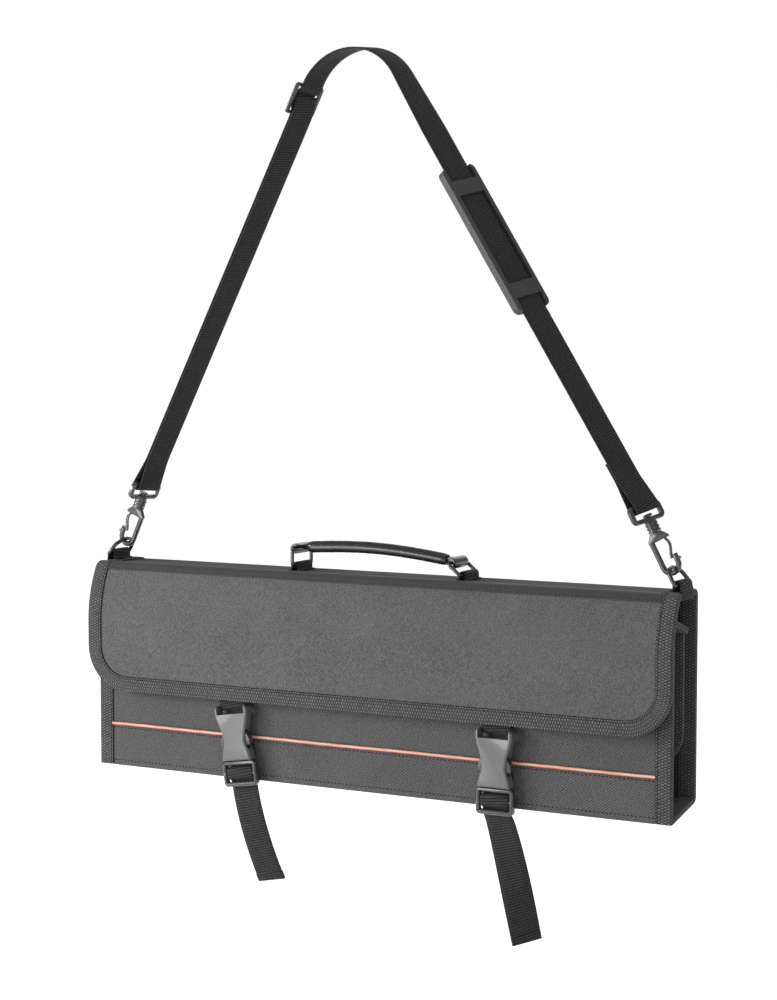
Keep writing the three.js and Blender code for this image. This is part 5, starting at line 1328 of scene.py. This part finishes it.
def make_handle(dye):
    """The two rings in their sewn loops, and the grip between them."""
    webbing, wire = finish_named("tab_webbing", dye), finish_named("wire", dye)
    foot = TOP_HEIGHT + SEAT_GAP + TAB / 2
    radius = RING_WIRE / 2 + WIRE_GAP + TAB / 2
    seam = radius + HANDLE_FOOT
    rows = []
    for name, x in (("left", LEFT_RING_X), ("right", RIGHT_RING_X)):
        bend = turn_points((x, RING_Z), radius, math.pi, 0)
        points = [(x - seam, foot), (x - radius, foot), *bend, (x + radius, foot), (x + seam, foot)]
        course = Course.flat(softened(points, LOOP_CUT), (0, 0, 0), X_AXIS, Z_AXIS, Y_AXIS)
        loop = ribbon(f"handle_loop_{name}", course, HANDLE_LOOP_WIDTH, TAB)
        settle(loop, webbing, "case", [f"handle_tab_{name}"])
        place = Place((x, 0, foot + TAB / 2), X_AXIS, Z_AXIS)
        for at in (FOOT_STITCH - seam, seam - FOOT_STITCH):
            line = np.array([(at, y, THREAD_LIFT) for y in SEAM_ROW])
            rows.append(straight_row(place.points(line), Z_AXIS))
        refined(f"handle_ring_{name}", f"handle_wire_{name}", wire, WIRE_EDGE)
    grey = finish_named("grey_thread", dye)
    stitch_rows("handle_loop_stitching", rows, grey, "webbing", "case", *FINE_STITCH)
    make_grip(finish_named("vinyl", dye))


def eased(share):
    """A share from 0 to 1 that starts and stops gently."""
    return share * share * (3 - 2 * share)


def make_grip(vinyl):
    """The vinyl strap that folds round both rings, and the tube closed over it."""
    origin = np.array([LEFT_RING_X, 0, RING_Z + RING_RISE])
    right = np.array([RIGHT_RING_X, 0, RING_Z]) + lean_in(RING_LEAN, 1) * RING_RISE
    length = np.linalg.norm(right - origin)
    along = unit(right - origin)
    up = -np.cross(Y_AXIS, along)
    near = RING_WIRE / 2 + WIRE_GAP + STRAP_HALF
    far = RING_WIRE / 2 + OPEN_PIVOT_GAP + STRAP_HALF

    def rise(place, end):
        """Height of the middle line over the rings' bars."""
        inside = eased(np.clip(np.minimum(place, length - place) / GRIP_CLIMB, 0, 1))
        return end * (1 - inside) + inside * (GRIP_LIFT + GRIP_BOW * np.sin(math.pi * place / length))

    run = np.linspace(2, length - 2, 70)
    middle = list(zip(run, rise(run, np.where(run < length / 2, near, far))))
    line = turn_points((0, 0), near, 1.5 * math.pi, math.pi / 2) + middle
    line += turn_points((length, 0), far, math.pi / 2, -math.pi / 2)
    course = Course.flat(softened(line, 0.5), origin, along, up, Y_AXIS)
    place = (course.middle - origin) @ along
    drawn_in = np.minimum(place, length - place) - DRAW_IN_START
    core = eased(np.clip(drawn_in / DRAW_IN_LENGTH, 0, 1))
    turn = np.linspace(0, 2 * math.pi, 29)
    power = (FLAT_POWER + (1 - FLAT_POWER) * core)[:, None]
    c, s = np.cos(turn)[None, :], np.sin(turn)[None, :]
    wide = np.sign(c) * np.abs(c) ** power * (STRAP_WIDE + (CORE_RADIUS - STRAP_WIDE) * core)[:, None]
    deep = np.sign(s) * np.abs(s) ** power * (STRAP_HALF + (CORE_RADIUS - STRAP_HALF) * core)[:, None]
    table = course.middle[:, None] + course.across[:, None] * wide[..., None]
    table = table + course.through[:, None] * deep[..., None]
    uv = np.stack(np.meshgrid(course.along, turn * 2 * CORE_RADIUS, indexing="ij"), -1)
    strap = woven("handle_core_strap", table, uv, around=True)
    settle(strap, vinyl, "grip", ["handle_strap"], angle=50)

    run = np.linspace(TUBE_INSET, length - TUBE_INSET, TUBE_ROWS)
    course = Course.flat(list(zip(run, rise(run, near))), origin, along, up, Y_AXIS)
    index = np.arange(TUBE_ROWS)
    lip = np.clip(np.minimum(index, TUBE_ROWS - 1 - index) / 2.0, 0, 1)
    creases = 0.05 * np.sin(index * 1.9) + 0.04 * np.sin(index * 0.7 + 1)
    outer = TUBE_LIP_RADIUS + (TUBE_RADIUS - TUBE_LIP_RADIUS) * np.sqrt(lip) + creases * lip
    inner = np.full(TUBE_ROWS, TUBE_BORE_RADIUS)
    index = np.concatenate([index, index[::-1], [0]])
    radii = np.concatenate([outer, inner, outer[:1]])
    turn = np.linspace(0, 2 * math.pi, 33)
    ring = np.cos(turn)[None, :, None] * course.across[index][:, None]
    ring = ring + np.sin(turn)[None, :, None] * course.through[index][:, None]
    table = course.middle[index][:, None] + ring * radii[:, None, None]
    uv = np.stack(np.meshgrid(course.along[index], turn * TUBE_RADIUS, indexing="ij"), -1)
    tube = woven("handle_grip_tube", table, uv, around=True, ring=True)
    settle(tube, vinyl, "grip", ["handle_tube"], angle=60)


def ring_bar(side):
    """Middle of the D-ring's straight bar, hung from the hook's lowest point."""
    lift = HOOK_WIRE / 2 + HOOK_RING_GAP + DRING_WIRE / 2
    pivot = np.array([side * HOOK_X, 0, HOOK_Z])
    return pivot + lean_in(HOOK_LEANS[side], side) * lift - lean_in(DRING_LEAN, side) * DRING_RISE


def make_end_rings(dye):
    """The D-rings and the loops that go over their bars and down the case's ends."""
    finish, wire = finish_named("tab_webbing", dye), finish_named("wire", dye)
    top = TOP_HEIGHT + PROUD + SEAT_GAP + TAB / 2
    radius = DRING_WIRE / 2 + WIRE_GAP + TAB / 2
    end = HALF_LENGTH + PROUD + SEAT_GAP + TAB / 2
    low = TOP_HEIGHT - END_LOOP_DROP
    rows = []
    for name, side in SIDES:
        bar = ring_bar(side)
        reach = side * bar[0]
        over = max(end, reach + radius)
        bend = turn_points((reach, bar[2]), radius, math.pi, 0)
        seam = reach - radius - END_LOOP_FOOT
        points = [(seam, top), (reach - radius, top), *bend, (over, top), (over, low)]
        course = Course.flat(softened(points, LOOP_CUT), (0, 0, 0), X_AXIS * side, Z_AXIS, Y_AXIS)
        loop = ribbon(f"end_loop_{name}", course, WEB_WIDTH - 1, TAB)
        settle(loop, finish, "case", [f"dring_tab_{name}"])
        lift = TAB / 2 + THREAD_LIFT
        x = side * (seam + END_FOOT_STITCH)
        rows.append(straight_row([(x, y, top + lift) for y in SEAM_ROW], Z_AXIS))
        x = side * (over + lift)
        for off in END_STITCH_HEIGHTS:
            rows.append(straight_row([(x, y, low + off) for y in SEAM_ROW], side * X_AXIS))
        refined(f"dring_{name}", f"end_ring_{name}", wire, 0.5)
    grey = finish_named("grey_thread", dye)
    stitch_rows("end_loop_stitching", rows, grey, "webbing", "case", *SMALL_STITCH)


def make_hooks(dye):
    """The snap hooks with their gates, and the swivel bases."""
    finish = finish_named("hook", dye)
    for name, side in SIDES:
        refined(f"hook_{name}", f"snap_hook_{name}", finish, 0.5, 3)
        make_gate(name, side, finish)
        refined(f"hook_base_{name}", f"swivel_base_{name}", finish, 0.5, 3)


def make_gate(name, side, finish):
    """The sprung lever that bows from the hook's shoulder to behind its nose."""
    share = np.linspace(0, 1, 16)[:, None]
    terms = ((1 - share) ** 3, 3 * share * (1 - share) ** 2, 3 * share**2 * (1 - share), share**3)
    line = sum(term * np.array(end) for term, end in zip(terms, GATE_HANDLES))
    pivot, lean = (side * HOOK_X, 0, HOOK_Z), HOOK_LEANS[side]
    course = Course.flat(line, pivot, lean_out(lean, side), lean_in(lean, side), Y_AXIS)
    gate = ribbon(f"snap_gate_{name}", course, GATE_WIDTH, GATE, GATE_CROWN)
    settle(gate, finish, NODE_BODY[f"gate_{name}"], [f"gate_{name}"])


# shoulder strap


def strap_leg(side):
    """Where one straight leg of the strap runs, from the hook's bar to the bend at the top."""
    pivot = np.array([side * HOOK_X, 0, HOOK_Z])
    bar_height = HOOK_NECK + SHANK_GAP + BARREL + CROSS_PIECE + BASE_WINDOW + BASE_BAR / 2
    bar = pivot + lean_in(HOOK_LEANS[side], side) * bar_height
    radius, tilt = TOP_RADII[side], STRAP_TILTS[side]
    centre = np.array([HANG_X, 0, HANG_Z - radius])
    inner = radius - (WEB + SEAT_GAP) / 2
    across, rise = side * (bar[0] - centre[0]), centre[2] - bar[2]
    lean = math.atan2(across, rise) - math.asin(inner / math.hypot(across, rise))
    travel = lean_in(lean, side) * -side
    width = Y_AXIS * math.cos(tilt) + np.cross(travel, Y_AXIS) * math.sin(tilt)
    return {
        "bar": bar,
        "centre": centre,
        "radius": radius,
        "lean": lean,
        "length": math.sqrt(across**2 + rise**2 - inner**2),
        "travel": travel,
        "width": width,
        "normal": np.cross(travel, width),
    }


def left_course(left):
    """From inside the slider, down to the left hook's bar and back up through the slider."""
    half, step = (WEB + SEAT_GAP) / 2, WEB + SEAT_GAP
    end = left["length"] - SLIDER_DISTANCE
    start = end - 3 * SLIDER_BAR - 2 * SLIDER_SLOT
    mid = start + SLIDER_BAR + SLIDER_SLOT
    under = (SLIDER_THICKNESS + WEB) / 2 + SEAT_GAP
    plane = half + under
    over = plane + under + step
    bend = SEAT_GAP + SLIDER_SLOT / 20
    points = [
        (mid + SLIDER_BAR / 2, plane + under),
        *turn_points((mid + SLIDER_BAR - SEAT_GAP, plane), under, math.pi / 2, -math.pi / 2),
        (mid, plane - under),
        (start + SLIDER_BAR, -half),
        (STRAP_SPREAD, -half),
        *turn_points((0, 0), HOOK_BAR_WRAP, 1.5 * math.pi, math.pi / 2),
        (STRAP_SPREAD, half),
        (start + SLIDER_BAR + bend, half),
        (mid, over),
        (mid + SLIDER_BAR + bend, over),
        (end - SLIDER_BAR - bend, half),
        (end, half),
    ]
    soft = softened(points, 2.5)
    return Course.flat(soft, left["bar"], left["travel"], left["normal"], left["width"])


def top_course(left, right):
    """The bend over the hang point, and the twist below it on the right."""
    first, last = left["lean"], math.pi - right["lean"]
    full = (last - math.pi / 2) * right["radius"] + STRAP_TWIST
    tilts = STRAP_TILTS
    middle, across, through = [], [], []

    def lay(point, travel, start, end, share):
        tilt = start + (end - start) * share
        wide = Y_AXIS * math.cos(tilt) + np.cross(travel, Y_AXIS) * math.sin(tilt)
        middle.append(point)
        across.append(wide)
        through.append(np.cross(travel, wide))

    def on_bend(angle, leg, *tilt):
        travel = np.array([math.sin(angle), 0, math.cos(angle)])
        lay(leg["centre"] + np.cross(travel, Y_AXIS) * leg["radius"], travel, *tilt)

    for t in np.linspace(0, 1, 25)[1:]:
        on_bend(first + (math.pi / 2 - first) * t, left, tilts[-1], tilts[0], t)
    for t in np.linspace(0, 1, 25)[1:]:
        angle = math.pi / 2 + (last - math.pi / 2) * t
        on_bend(angle, right, tilts[0], tilts[1], t * (full - STRAP_TWIST) / full)
    tangent, travel = middle[-1], right["travel"]
    for t in np.linspace(0, 1, 9)[1:]:
        done = (full - STRAP_TWIST + STRAP_TWIST * t) / full
        lay(tangent + travel * STRAP_TWIST * t, travel, tilts[0], tilts[1], done)
    return Course(middle, across, through)


def right_course(right):
    """Down to the right hook's bar, round it and up to the hem."""
    half = (WEB + SEAT_GAP) / 2
    points = [
        (-STRAP_SPREAD - STRAP_HEM, half),
        (-STRAP_SPREAD, half),
        *turn_points((0, 0), HOOK_BAR_WRAP, math.pi / 2, -math.pi / 2),
        (-STRAP_SPREAD, -half),
        (-STRAP_SPREAD - STRAP_HEM, -half),
    ]
    soft = softened(points)
    return Course.flat(soft, right["bar"], right["travel"], right["normal"], right["width"])


def make_strap(dye):
    """The webbing in one length, its slider and its pad."""
    left, right = strap_leg(-1), strap_leg(1)
    course = left_course(left).then(top_course(left, right)).then(right_course(right))
    webbing = ribbon("shoulder_strap", course, WEB_WIDTH, WEB, 0.04)
    settle(webbing, finish_named("webbing", dye), "strap", ["shoulder_webbing"])
    place = Place(right["bar"], right["width"], right["travel"])
    low, high = -STRAP_SPREAD - STRAP_HEM + HEM_SEAM_LOW, -STRAP_SPREAD - HEM_SEAM_HIGH
    depth = (WEB + SEAT_GAP) / 2 + WEB / 2 + THREAD_LIFT
    rows = []
    for out in (1, -1):
        rows += box_stitches(place, SEAM_HALF, low, high, out * depth, out)
    grey = finish_named("grey_thread", dye)
    stitch_rows("strap_hem_stitching", rows, grey, "webbing", "strap", *FINE_STITCH)
    slider = finish_named("slider", dye)
    refined("strap_slider", "strap_length_slider", slider, 0.5, 3)
    rubber = finish_named("rubber", dye)
    pad = refined("shoulder_pad", "shoulder_pad_rubber", rubber, 0.55, 3)


# buckles and their webbing


def closing_course(length, sweep, drift, turn, bow):
    """From the seam on the front panel, over the plug's bar, behind its end bar and down."""
    half = TAB / 2
    anchor = BUCKLE_STAND - SEAT_GAP - half
    over = -PLUG_BAR_DEPTH / 2 - SEAT_GAP - half
    behind = PLUG_THICKNESS / 2 + SEAT_GAP + half
    top = -PLUG_BAR_TOP
    leave = -PLUG_LENGTH - SEAT_GAP
    points = [
        (anchor, ANCHOR_TOP - MOUTH_Z),
        (anchor, (ANCHOR_TOP + ANCHOR_BOTTOM) / 2 - MOUTH_Z),
        (anchor - 0.2, ANCHOR_BOTTOM - MOUTH_Z),
        (anchor - 0.4, top + 3.1),
        (over + half, top + 2.4),
        (over, top + 1),
        (over, top - PLUG_BAR - half),
        (behind, PLUG_END_BAR - PLUG_LENGTH + half),
        (behind, leave),
    ]
    course = Course.flat(softened(points, 1.4), (0, 0, 0), Y_AXIS, Z_AXIS, X_AXIS)
    hem = 1 - TAIL_HEM / length
    middle, across, through = [], [], []

    def spot(share):
        return np.array([drift * share, behind + sweep * share**bow, leave - length * share])

    shares = np.concatenate([np.linspace(0, hem, 22)[1:], [hem + 0.7 / length, 1 - 0.6 / length, 1]])
    for share in shares:
        travel = unit(spot(share + 1 / 81) - spot(share))
        angle = turn * share
        wide = np.array([math.cos(angle), math.sin(angle), 0])
        wide = unit(wide - travel * wide.dot(travel))
        thick = 1.0 if share <= hem else (HEM_LAYERS if share < 1 else HEM_END_LAYERS)
        middle.append(spot(share))
        across.append(wide)
        through.append(np.cross(wide, travel) * thick)
    return course.then(Course(middle, across, through))


def socket_course():
    """From the seam under the flap, down over its binding and round the socket's bar."""
    half = TAB / 2
    height = SOCKET_LENGTH - SOCKET_BAR / 2
    radius = math.hypot(SOCKET_BAR, SOCKET_BAR_DEPTH) / 2 + SEAT_GAP + half
    seam = FLAP_Y + PANEL + SEAT_GAP + half - BUCKLE_Y
    past = seam + PROUD
    rise = (WEB_WIDTH / 2) * math.sin(LEFT_BUCKLE_LEAN)
    binding = FLAP_BOTTOM + TAPE_COVER + rise - MOUTH_Z
    points = [
        (seam, SOCKET_SEAM_Z - MOUTH_Z),
        (seam, binding + 3 * TAB),
        (past, binding + TAB),
        (past, height + radius),
        *turn_points((SOCKET_BAR_BACK, height), radius, math.pi, 2 * math.pi),
        (SOCKET_BAR_BACK + radius, height + 3 * radius),
    ]
    return Course.flat(softened(points, 1.0), (0, 0, 0), Y_AXIS, Z_AXIS, X_AXIS)


def make_buckles(dye):
    """The sockets on their loops, and the plugs with prongs and closing straps."""
    finish, latch, web = (finish_named(key, dye) for key in ("buckle", "latch", "tab_webbing"))
    grey = finish_named("grey_thread", dye)
    for name, x, lean, *tail in BUCKLES:
        refined(f"buckle_socket_{name}", f"buckle_housing_{name}", finish, 0.7, 3)
        refined(f"buckle_plug_{name}", f"buckle_latch_{name}", latch, 0.5, 3)
        for part in ("inner", "outer"):
            node, piece = f"prong_{name}_{part}", f"buckle_prong_{name}_{part}"
            refined(node, piece, latch, 0.3)
        place = Place((x, BUCKLE_Y, MOUTH_Z), lean_out(lean, 1), lean_in(lean, 1))
        loop = ribbon(f"socket_loop_{name}", socket_course().moved(place), WEB_WIDTH, TAB)
        settle(loop, web, "flap", [f"socket_tab_{name}"])
        strap = ribbon(f"closing_strap_{name}", closing_course(*tail).moved(place), WEB_WIDTH, TAB)
        held, drawn = (place.points((0, DRAW_Y, z)) for z in DRAW_STRETCH)
        body = ("front_panel", f"{name}_plug", held, drawn)
        settle(strap, web, body, [f"closing_anchor_{name}", f"closing_tail_{name}"])
        top = ANCHOR_TOP - MOUTH_Z
        depth = BUCKLE_STAND - SEAT_GAP - TAB - THREAD_LIFT
        rows = box_stitches(place, SEAM_HALF, top - ANCHOR_SEAM, top, depth, -1)
        stitching = f"anchor_stitching_{name}"
        stitch_rows(stitching, rows, grey, "webbing", "front_panel", *SMALL_STITCH)


# studio


def make_studio(size):
    """The photo's camera, a pale floor, a white backdrop and five soft lights."""
    scene = bpy.context.scene
    scene.view_settings.view_transform = "Standard"
    camera = bpy.data.cameras.new("photo_camera")
    camera.lens, camera.sensor_width = size.lens, SENSOR_WIDTH
    camera.clip_start, camera.clip_end = 0.05, 1000
    camera_object = bpy.data.objects.new("photo_camera", camera)
    camera_object.location = CAMERA_PLACE
    camera_object.rotation_euler = CAMERA_TURN
    scene.collection.objects.link(camera_object)
    scene.camera = camera_object
    make_floor(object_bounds()[0][2] - size.floor_drop)
    make_sky(scene, size.sky)
    for name, place, width, watts in LIGHTS:
        lamp = bpy.data.lights.new(name, "AREA")
        lamp.energy, lamp.size = watts, width
        lamp_object = bpy.data.objects.new(name, lamp)
        lamp_object.location = place
        away = Vector(LIGHT_AIM) - Vector(place)
        lamp_object.rotation_euler = away.to_track_quat("-Z", "Y").to_euler()
        scene.collection.objects.link(lamp_object)


def make_floor(height):
    """A pale floor that glows to the camera and in reflections, and lights nothing else."""
    clear_selection()
    bpy.ops.mesh.primitive_plane_add(size=FLOOR_SIZE, location=(0, 0, height))
    floor = bpy.context.object
    floor.name = "studio_floor"
    loom = Loom("pale_floor")
    mottle = loom.noise(160, 2.0)
    loom.set(base_color=loom.mix(mottle, (0.8, 0.8, 0.8, 1), (0.84, 0.84, 0.84, 1)), roughness=0.9)
    seen = loom.ray("Camera").most(loom.ray("Glossy").most(loom.ray("Transmission")))
    loom.set(emission_color=WHITE, emission_strength=seen * FLOOR_GLOW)
    floor.data.materials.append(loom.material)
    floor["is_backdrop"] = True


def make_sky(scene, strength):
    """A white backdrop to the camera, and a weaker light from all round on the pieces."""
    scene.world = bpy.data.worlds.new("studio_world")
    bench = NodeBench(scene.world)
    light = bench.add("ShaderNodeBackground", values={"Color": WHITE, "Strength": strength})
    backdrop = bench.add("ShaderNodeBackground", values={"Color": WHITE, "Strength": 1.0})
    seen = bench.ray("Camera").most(bench.ray("Transmission"))
    shades = {0: seen, 1: light.outputs[0], 2: backdrop.outputs[0]}
    mixer = bench.add("ShaderNodeMixShader", values=shades)
    bench.add("ShaderNodeOutputWorld", values={"Surface": mixer.outputs[0]})


# add-on


def srgb(r, g, b):
    """A display colour from 0 to 255 as linear light from 0 to 1."""
    return tuple(((c / 255 + 0.055) / 1.055) ** 2.4 for c in (r, g, b))


def dye_property(name, text, default):
    return FloatVectorProperty(
        name=name, description=text, subtype="COLOR", size=3, min=0, max=1, default=default
    )


class KnifeCaseDyes(bpy.types.PropertyGroup):
    """Colours of the case, as they are without light on them."""

    cloth: dye_property("Cloth", "Twill of the panels", srgb(94, 94, 94))
    band: dye_property("Band", "Band along the flap's fold", srgb(66, 66, 66))
    tape: dye_property("Tape", "Binding round the panels", srgb(86, 86, 86))
    webbing: dye_property("Webbing", "Strap, loops and closing webbing", srgb(54, 54, 54))
    lining: dye_property("Lining", "Lining inside the panels", srgb(60, 60, 62))
    piping: dye_property("Piping", "Piping across the front", srgb(236, 140, 106))
    buckle: dye_property("Buckle", "Side-release buckles", srgb(108, 108, 109))
    hook: dye_property("Hook", "Snap hooks and slider", srgb(66, 66, 67))
    wire: dye_property("Wire", "Rings of the handle and of the strap", srgb(88, 88, 90))
    vinyl: dye_property("Vinyl", "Handle strap and tube", srgb(38, 38, 39))
    rubber: dye_property("Rubber", "Shoulder pad", srgb(74, 75, 76))


class KnifeCaseSizes(bpy.types.PropertyGroup):
    """Sizes that may be changed without moving a piece."""

    crown: FloatProperty(
        name="Cloth crown",
        description="Rise of a panel's cloth in its middle, in millimetres",
        default=0.22,
        min=0,
        max=0.28,
    )
    tape_crown: FloatProperty(
        name="Tape crown",
        description="Roundness of the binding tape, in millimetres",
        default=0.16,
        min=0,
        max=0.5,
    )
    lens: FloatProperty(
        name="Lens",
        description="Focal length of the camera, in millimetres",
        default=82.3,
        min=20,
    )
    floor_drop: FloatProperty(
        name="Floor drop",
        description="Height at which the case hangs over the floor",
        default=0.12,
        min=0,
        unit="LENGTH",
    )
    sky: FloatProperty(
        name="Sky",
        description="Strength of the light from all round",
        default=0.36,
        min=0,
    )


class KNIFECASE_OT_studio(bpy.types.Operator):
    """Sets up the camera, floor and soft lights"""

    bl_idname = "knife_case.studio"
    bl_label = "Studio"
    bl_options = {"REGISTER", "UNDO"}

    def execute(self, context):
        make_studio(context.scene.knife_case_sizes)
        return {"FINISHED"}


class KNIFECASE_OT_shell(bpy.types.Operator):
    """Sews the bottom, back and top with their binding"""

    bl_idname = "knife_case.shell"
    bl_label = "Shell"
    bl_options = {"REGISTER", "UNDO"}

    def execute(self, context):
        make_shell(context.scene.knife_case_sizes, context.scene.knife_case_dyes)
        return {"FINISHED"}


class KNIFECASE_OT_elastic(bpy.types.Operator):
    """Sews the knife loops inside the back"""

    bl_idname = "knife_case.elastic"
    bl_label = "Elastic Bands"
    bl_options = {"REGISTER", "UNDO"}

    def execute(self, context):
        make_elastic(context.scene.knife_case_dyes)
        return {"FINISHED"}


class KNIFECASE_OT_flap(bpy.types.Operator):
    """Sews the flap, its fold band and binding"""

    bl_idname = "knife_case.flap"
    bl_label = "Flap"
    bl_options = {"REGISTER", "UNDO"}

    def execute(self, context):
        make_flap(context.scene.knife_case_sizes, context.scene.knife_case_dyes)
        return {"FINISHED"}


class KNIFECASE_OT_front(bpy.types.Operator):
    """Sews the roof and front with the piping"""

    bl_idname = "knife_case.front"
    bl_label = "Front Panel"
    bl_options = {"REGISTER", "UNDO"}

    def execute(self, context):
        make_front(context.scene.knife_case_sizes, context.scene.knife_case_dyes)
        return {"FINISHED"}


class KNIFECASE_OT_inner_flap(bpy.types.Operator):
    """Sews the bound inner flap"""

    bl_idname = "knife_case.inner_flap"
    bl_label = "Inner Flap"
    bl_options = {"REGISTER", "UNDO"}

    def execute(self, context):
        make_inner_flap(context.scene.knife_case_sizes, context.scene.knife_case_dyes)
        return {"FINISHED"}


class KNIFECASE_OT_handle(bpy.types.Operator):
    """Makes the rings, loops, strap and grip"""

    bl_idname = "knife_case.handle"
    bl_label = "Handle"
    bl_options = {"REGISTER", "UNDO"}

    def execute(self, context):
        make_handle(context.scene.knife_case_dyes)
        return {"FINISHED"}


class KNIFECASE_OT_end_rings(bpy.types.Operator):
    """Makes the D-rings and their loops"""

    bl_idname = "knife_case.end_rings"
    bl_label = "End Rings"
    bl_options = {"REGISTER", "UNDO"}

    def execute(self, context):
        make_end_rings(context.scene.knife_case_dyes)
        return {"FINISHED"}


class KNIFECASE_OT_hooks(bpy.types.Operator):
    """Makes the hooks, gates and swivel bases"""

    bl_idname = "knife_case.hooks"
    bl_label = "Snap Hooks"
    bl_options = {"REGISTER", "UNDO"}

    def execute(self, context):
        make_hooks(context.scene.knife_case_dyes)
        return {"FINISHED"}


class KNIFECASE_OT_strap(bpy.types.Operator):
    """Makes the webbing, slider and pad"""

    bl_idname = "knife_case.strap"
    bl_label = "Shoulder Strap"
    bl_options = {"REGISTER", "UNDO"}

    def execute(self, context):
        make_strap(context.scene.knife_case_dyes)
        return {"FINISHED"}


class KNIFECASE_OT_buckles(bpy.types.Operator):
    """Makes the buckles and their webbing"""

    bl_idname = "knife_case.buckles"
    bl_label = "Buckles"
    bl_options = {"REGISTER", "UNDO"}

    def execute(self, context):
        make_buckles(context.scene.knife_case_dyes)
        return {"FINISHED"}


OPERATORS = (
    KNIFECASE_OT_studio,
    KNIFECASE_OT_shell,
    KNIFECASE_OT_elastic,
    KNIFECASE_OT_flap,
    KNIFECASE_OT_front,
    KNIFECASE_OT_inner_flap,
    KNIFECASE_OT_handle,
    KNIFECASE_OT_end_rings,
    KNIFECASE_OT_hooks,
    KNIFECASE_OT_strap,
    KNIFECASE_OT_buckles,
)


class KNIFECASE_PT_sidebar(bpy.types.Panel):
    """Lists the steps that dress the case."""

    bl_label = "Knife Case"
    bl_space_type = "VIEW_3D"
    bl_region_type = "UI"
    bl_category = "Knife Case"

    def draw(self, context):
        scene = context.scene
        for group in (scene.knife_case_sizes, scene.knife_case_dyes):
            for key in group.__annotations__:
                self.layout.prop(group, key)
        for made in OPERATORS:
            self.layout.operator(made.bl_idname)


CLASSES = (KnifeCaseDyes, KnifeCaseSizes, *OPERATORS, KNIFECASE_PT_sidebar)


def register():
    for made in CLASSES:
        bpy.utils.register_class(made)
    bpy.types.Scene.knife_case_sizes = PointerProperty(type=KnifeCaseSizes)
    bpy.types.Scene.knife_case_dyes = PointerProperty(type=KnifeCaseDyes)


def unregister():
    del bpy.types.Scene.knife_case_sizes
    del bpy.types.Scene.knife_case_dyes
    for made in reversed(CLASSES):
        bpy.utils.unregister_class(made)


def main():
    register()
    for made in OPERATORS:
        step = made.bl_idname.split(".")[1]
        if getattr(bpy.ops.knife_case, step)() != {"FINISHED"}:
            raise RuntimeError(f"the step {step} did not finish")


if __name__ == "__main__":
    main()
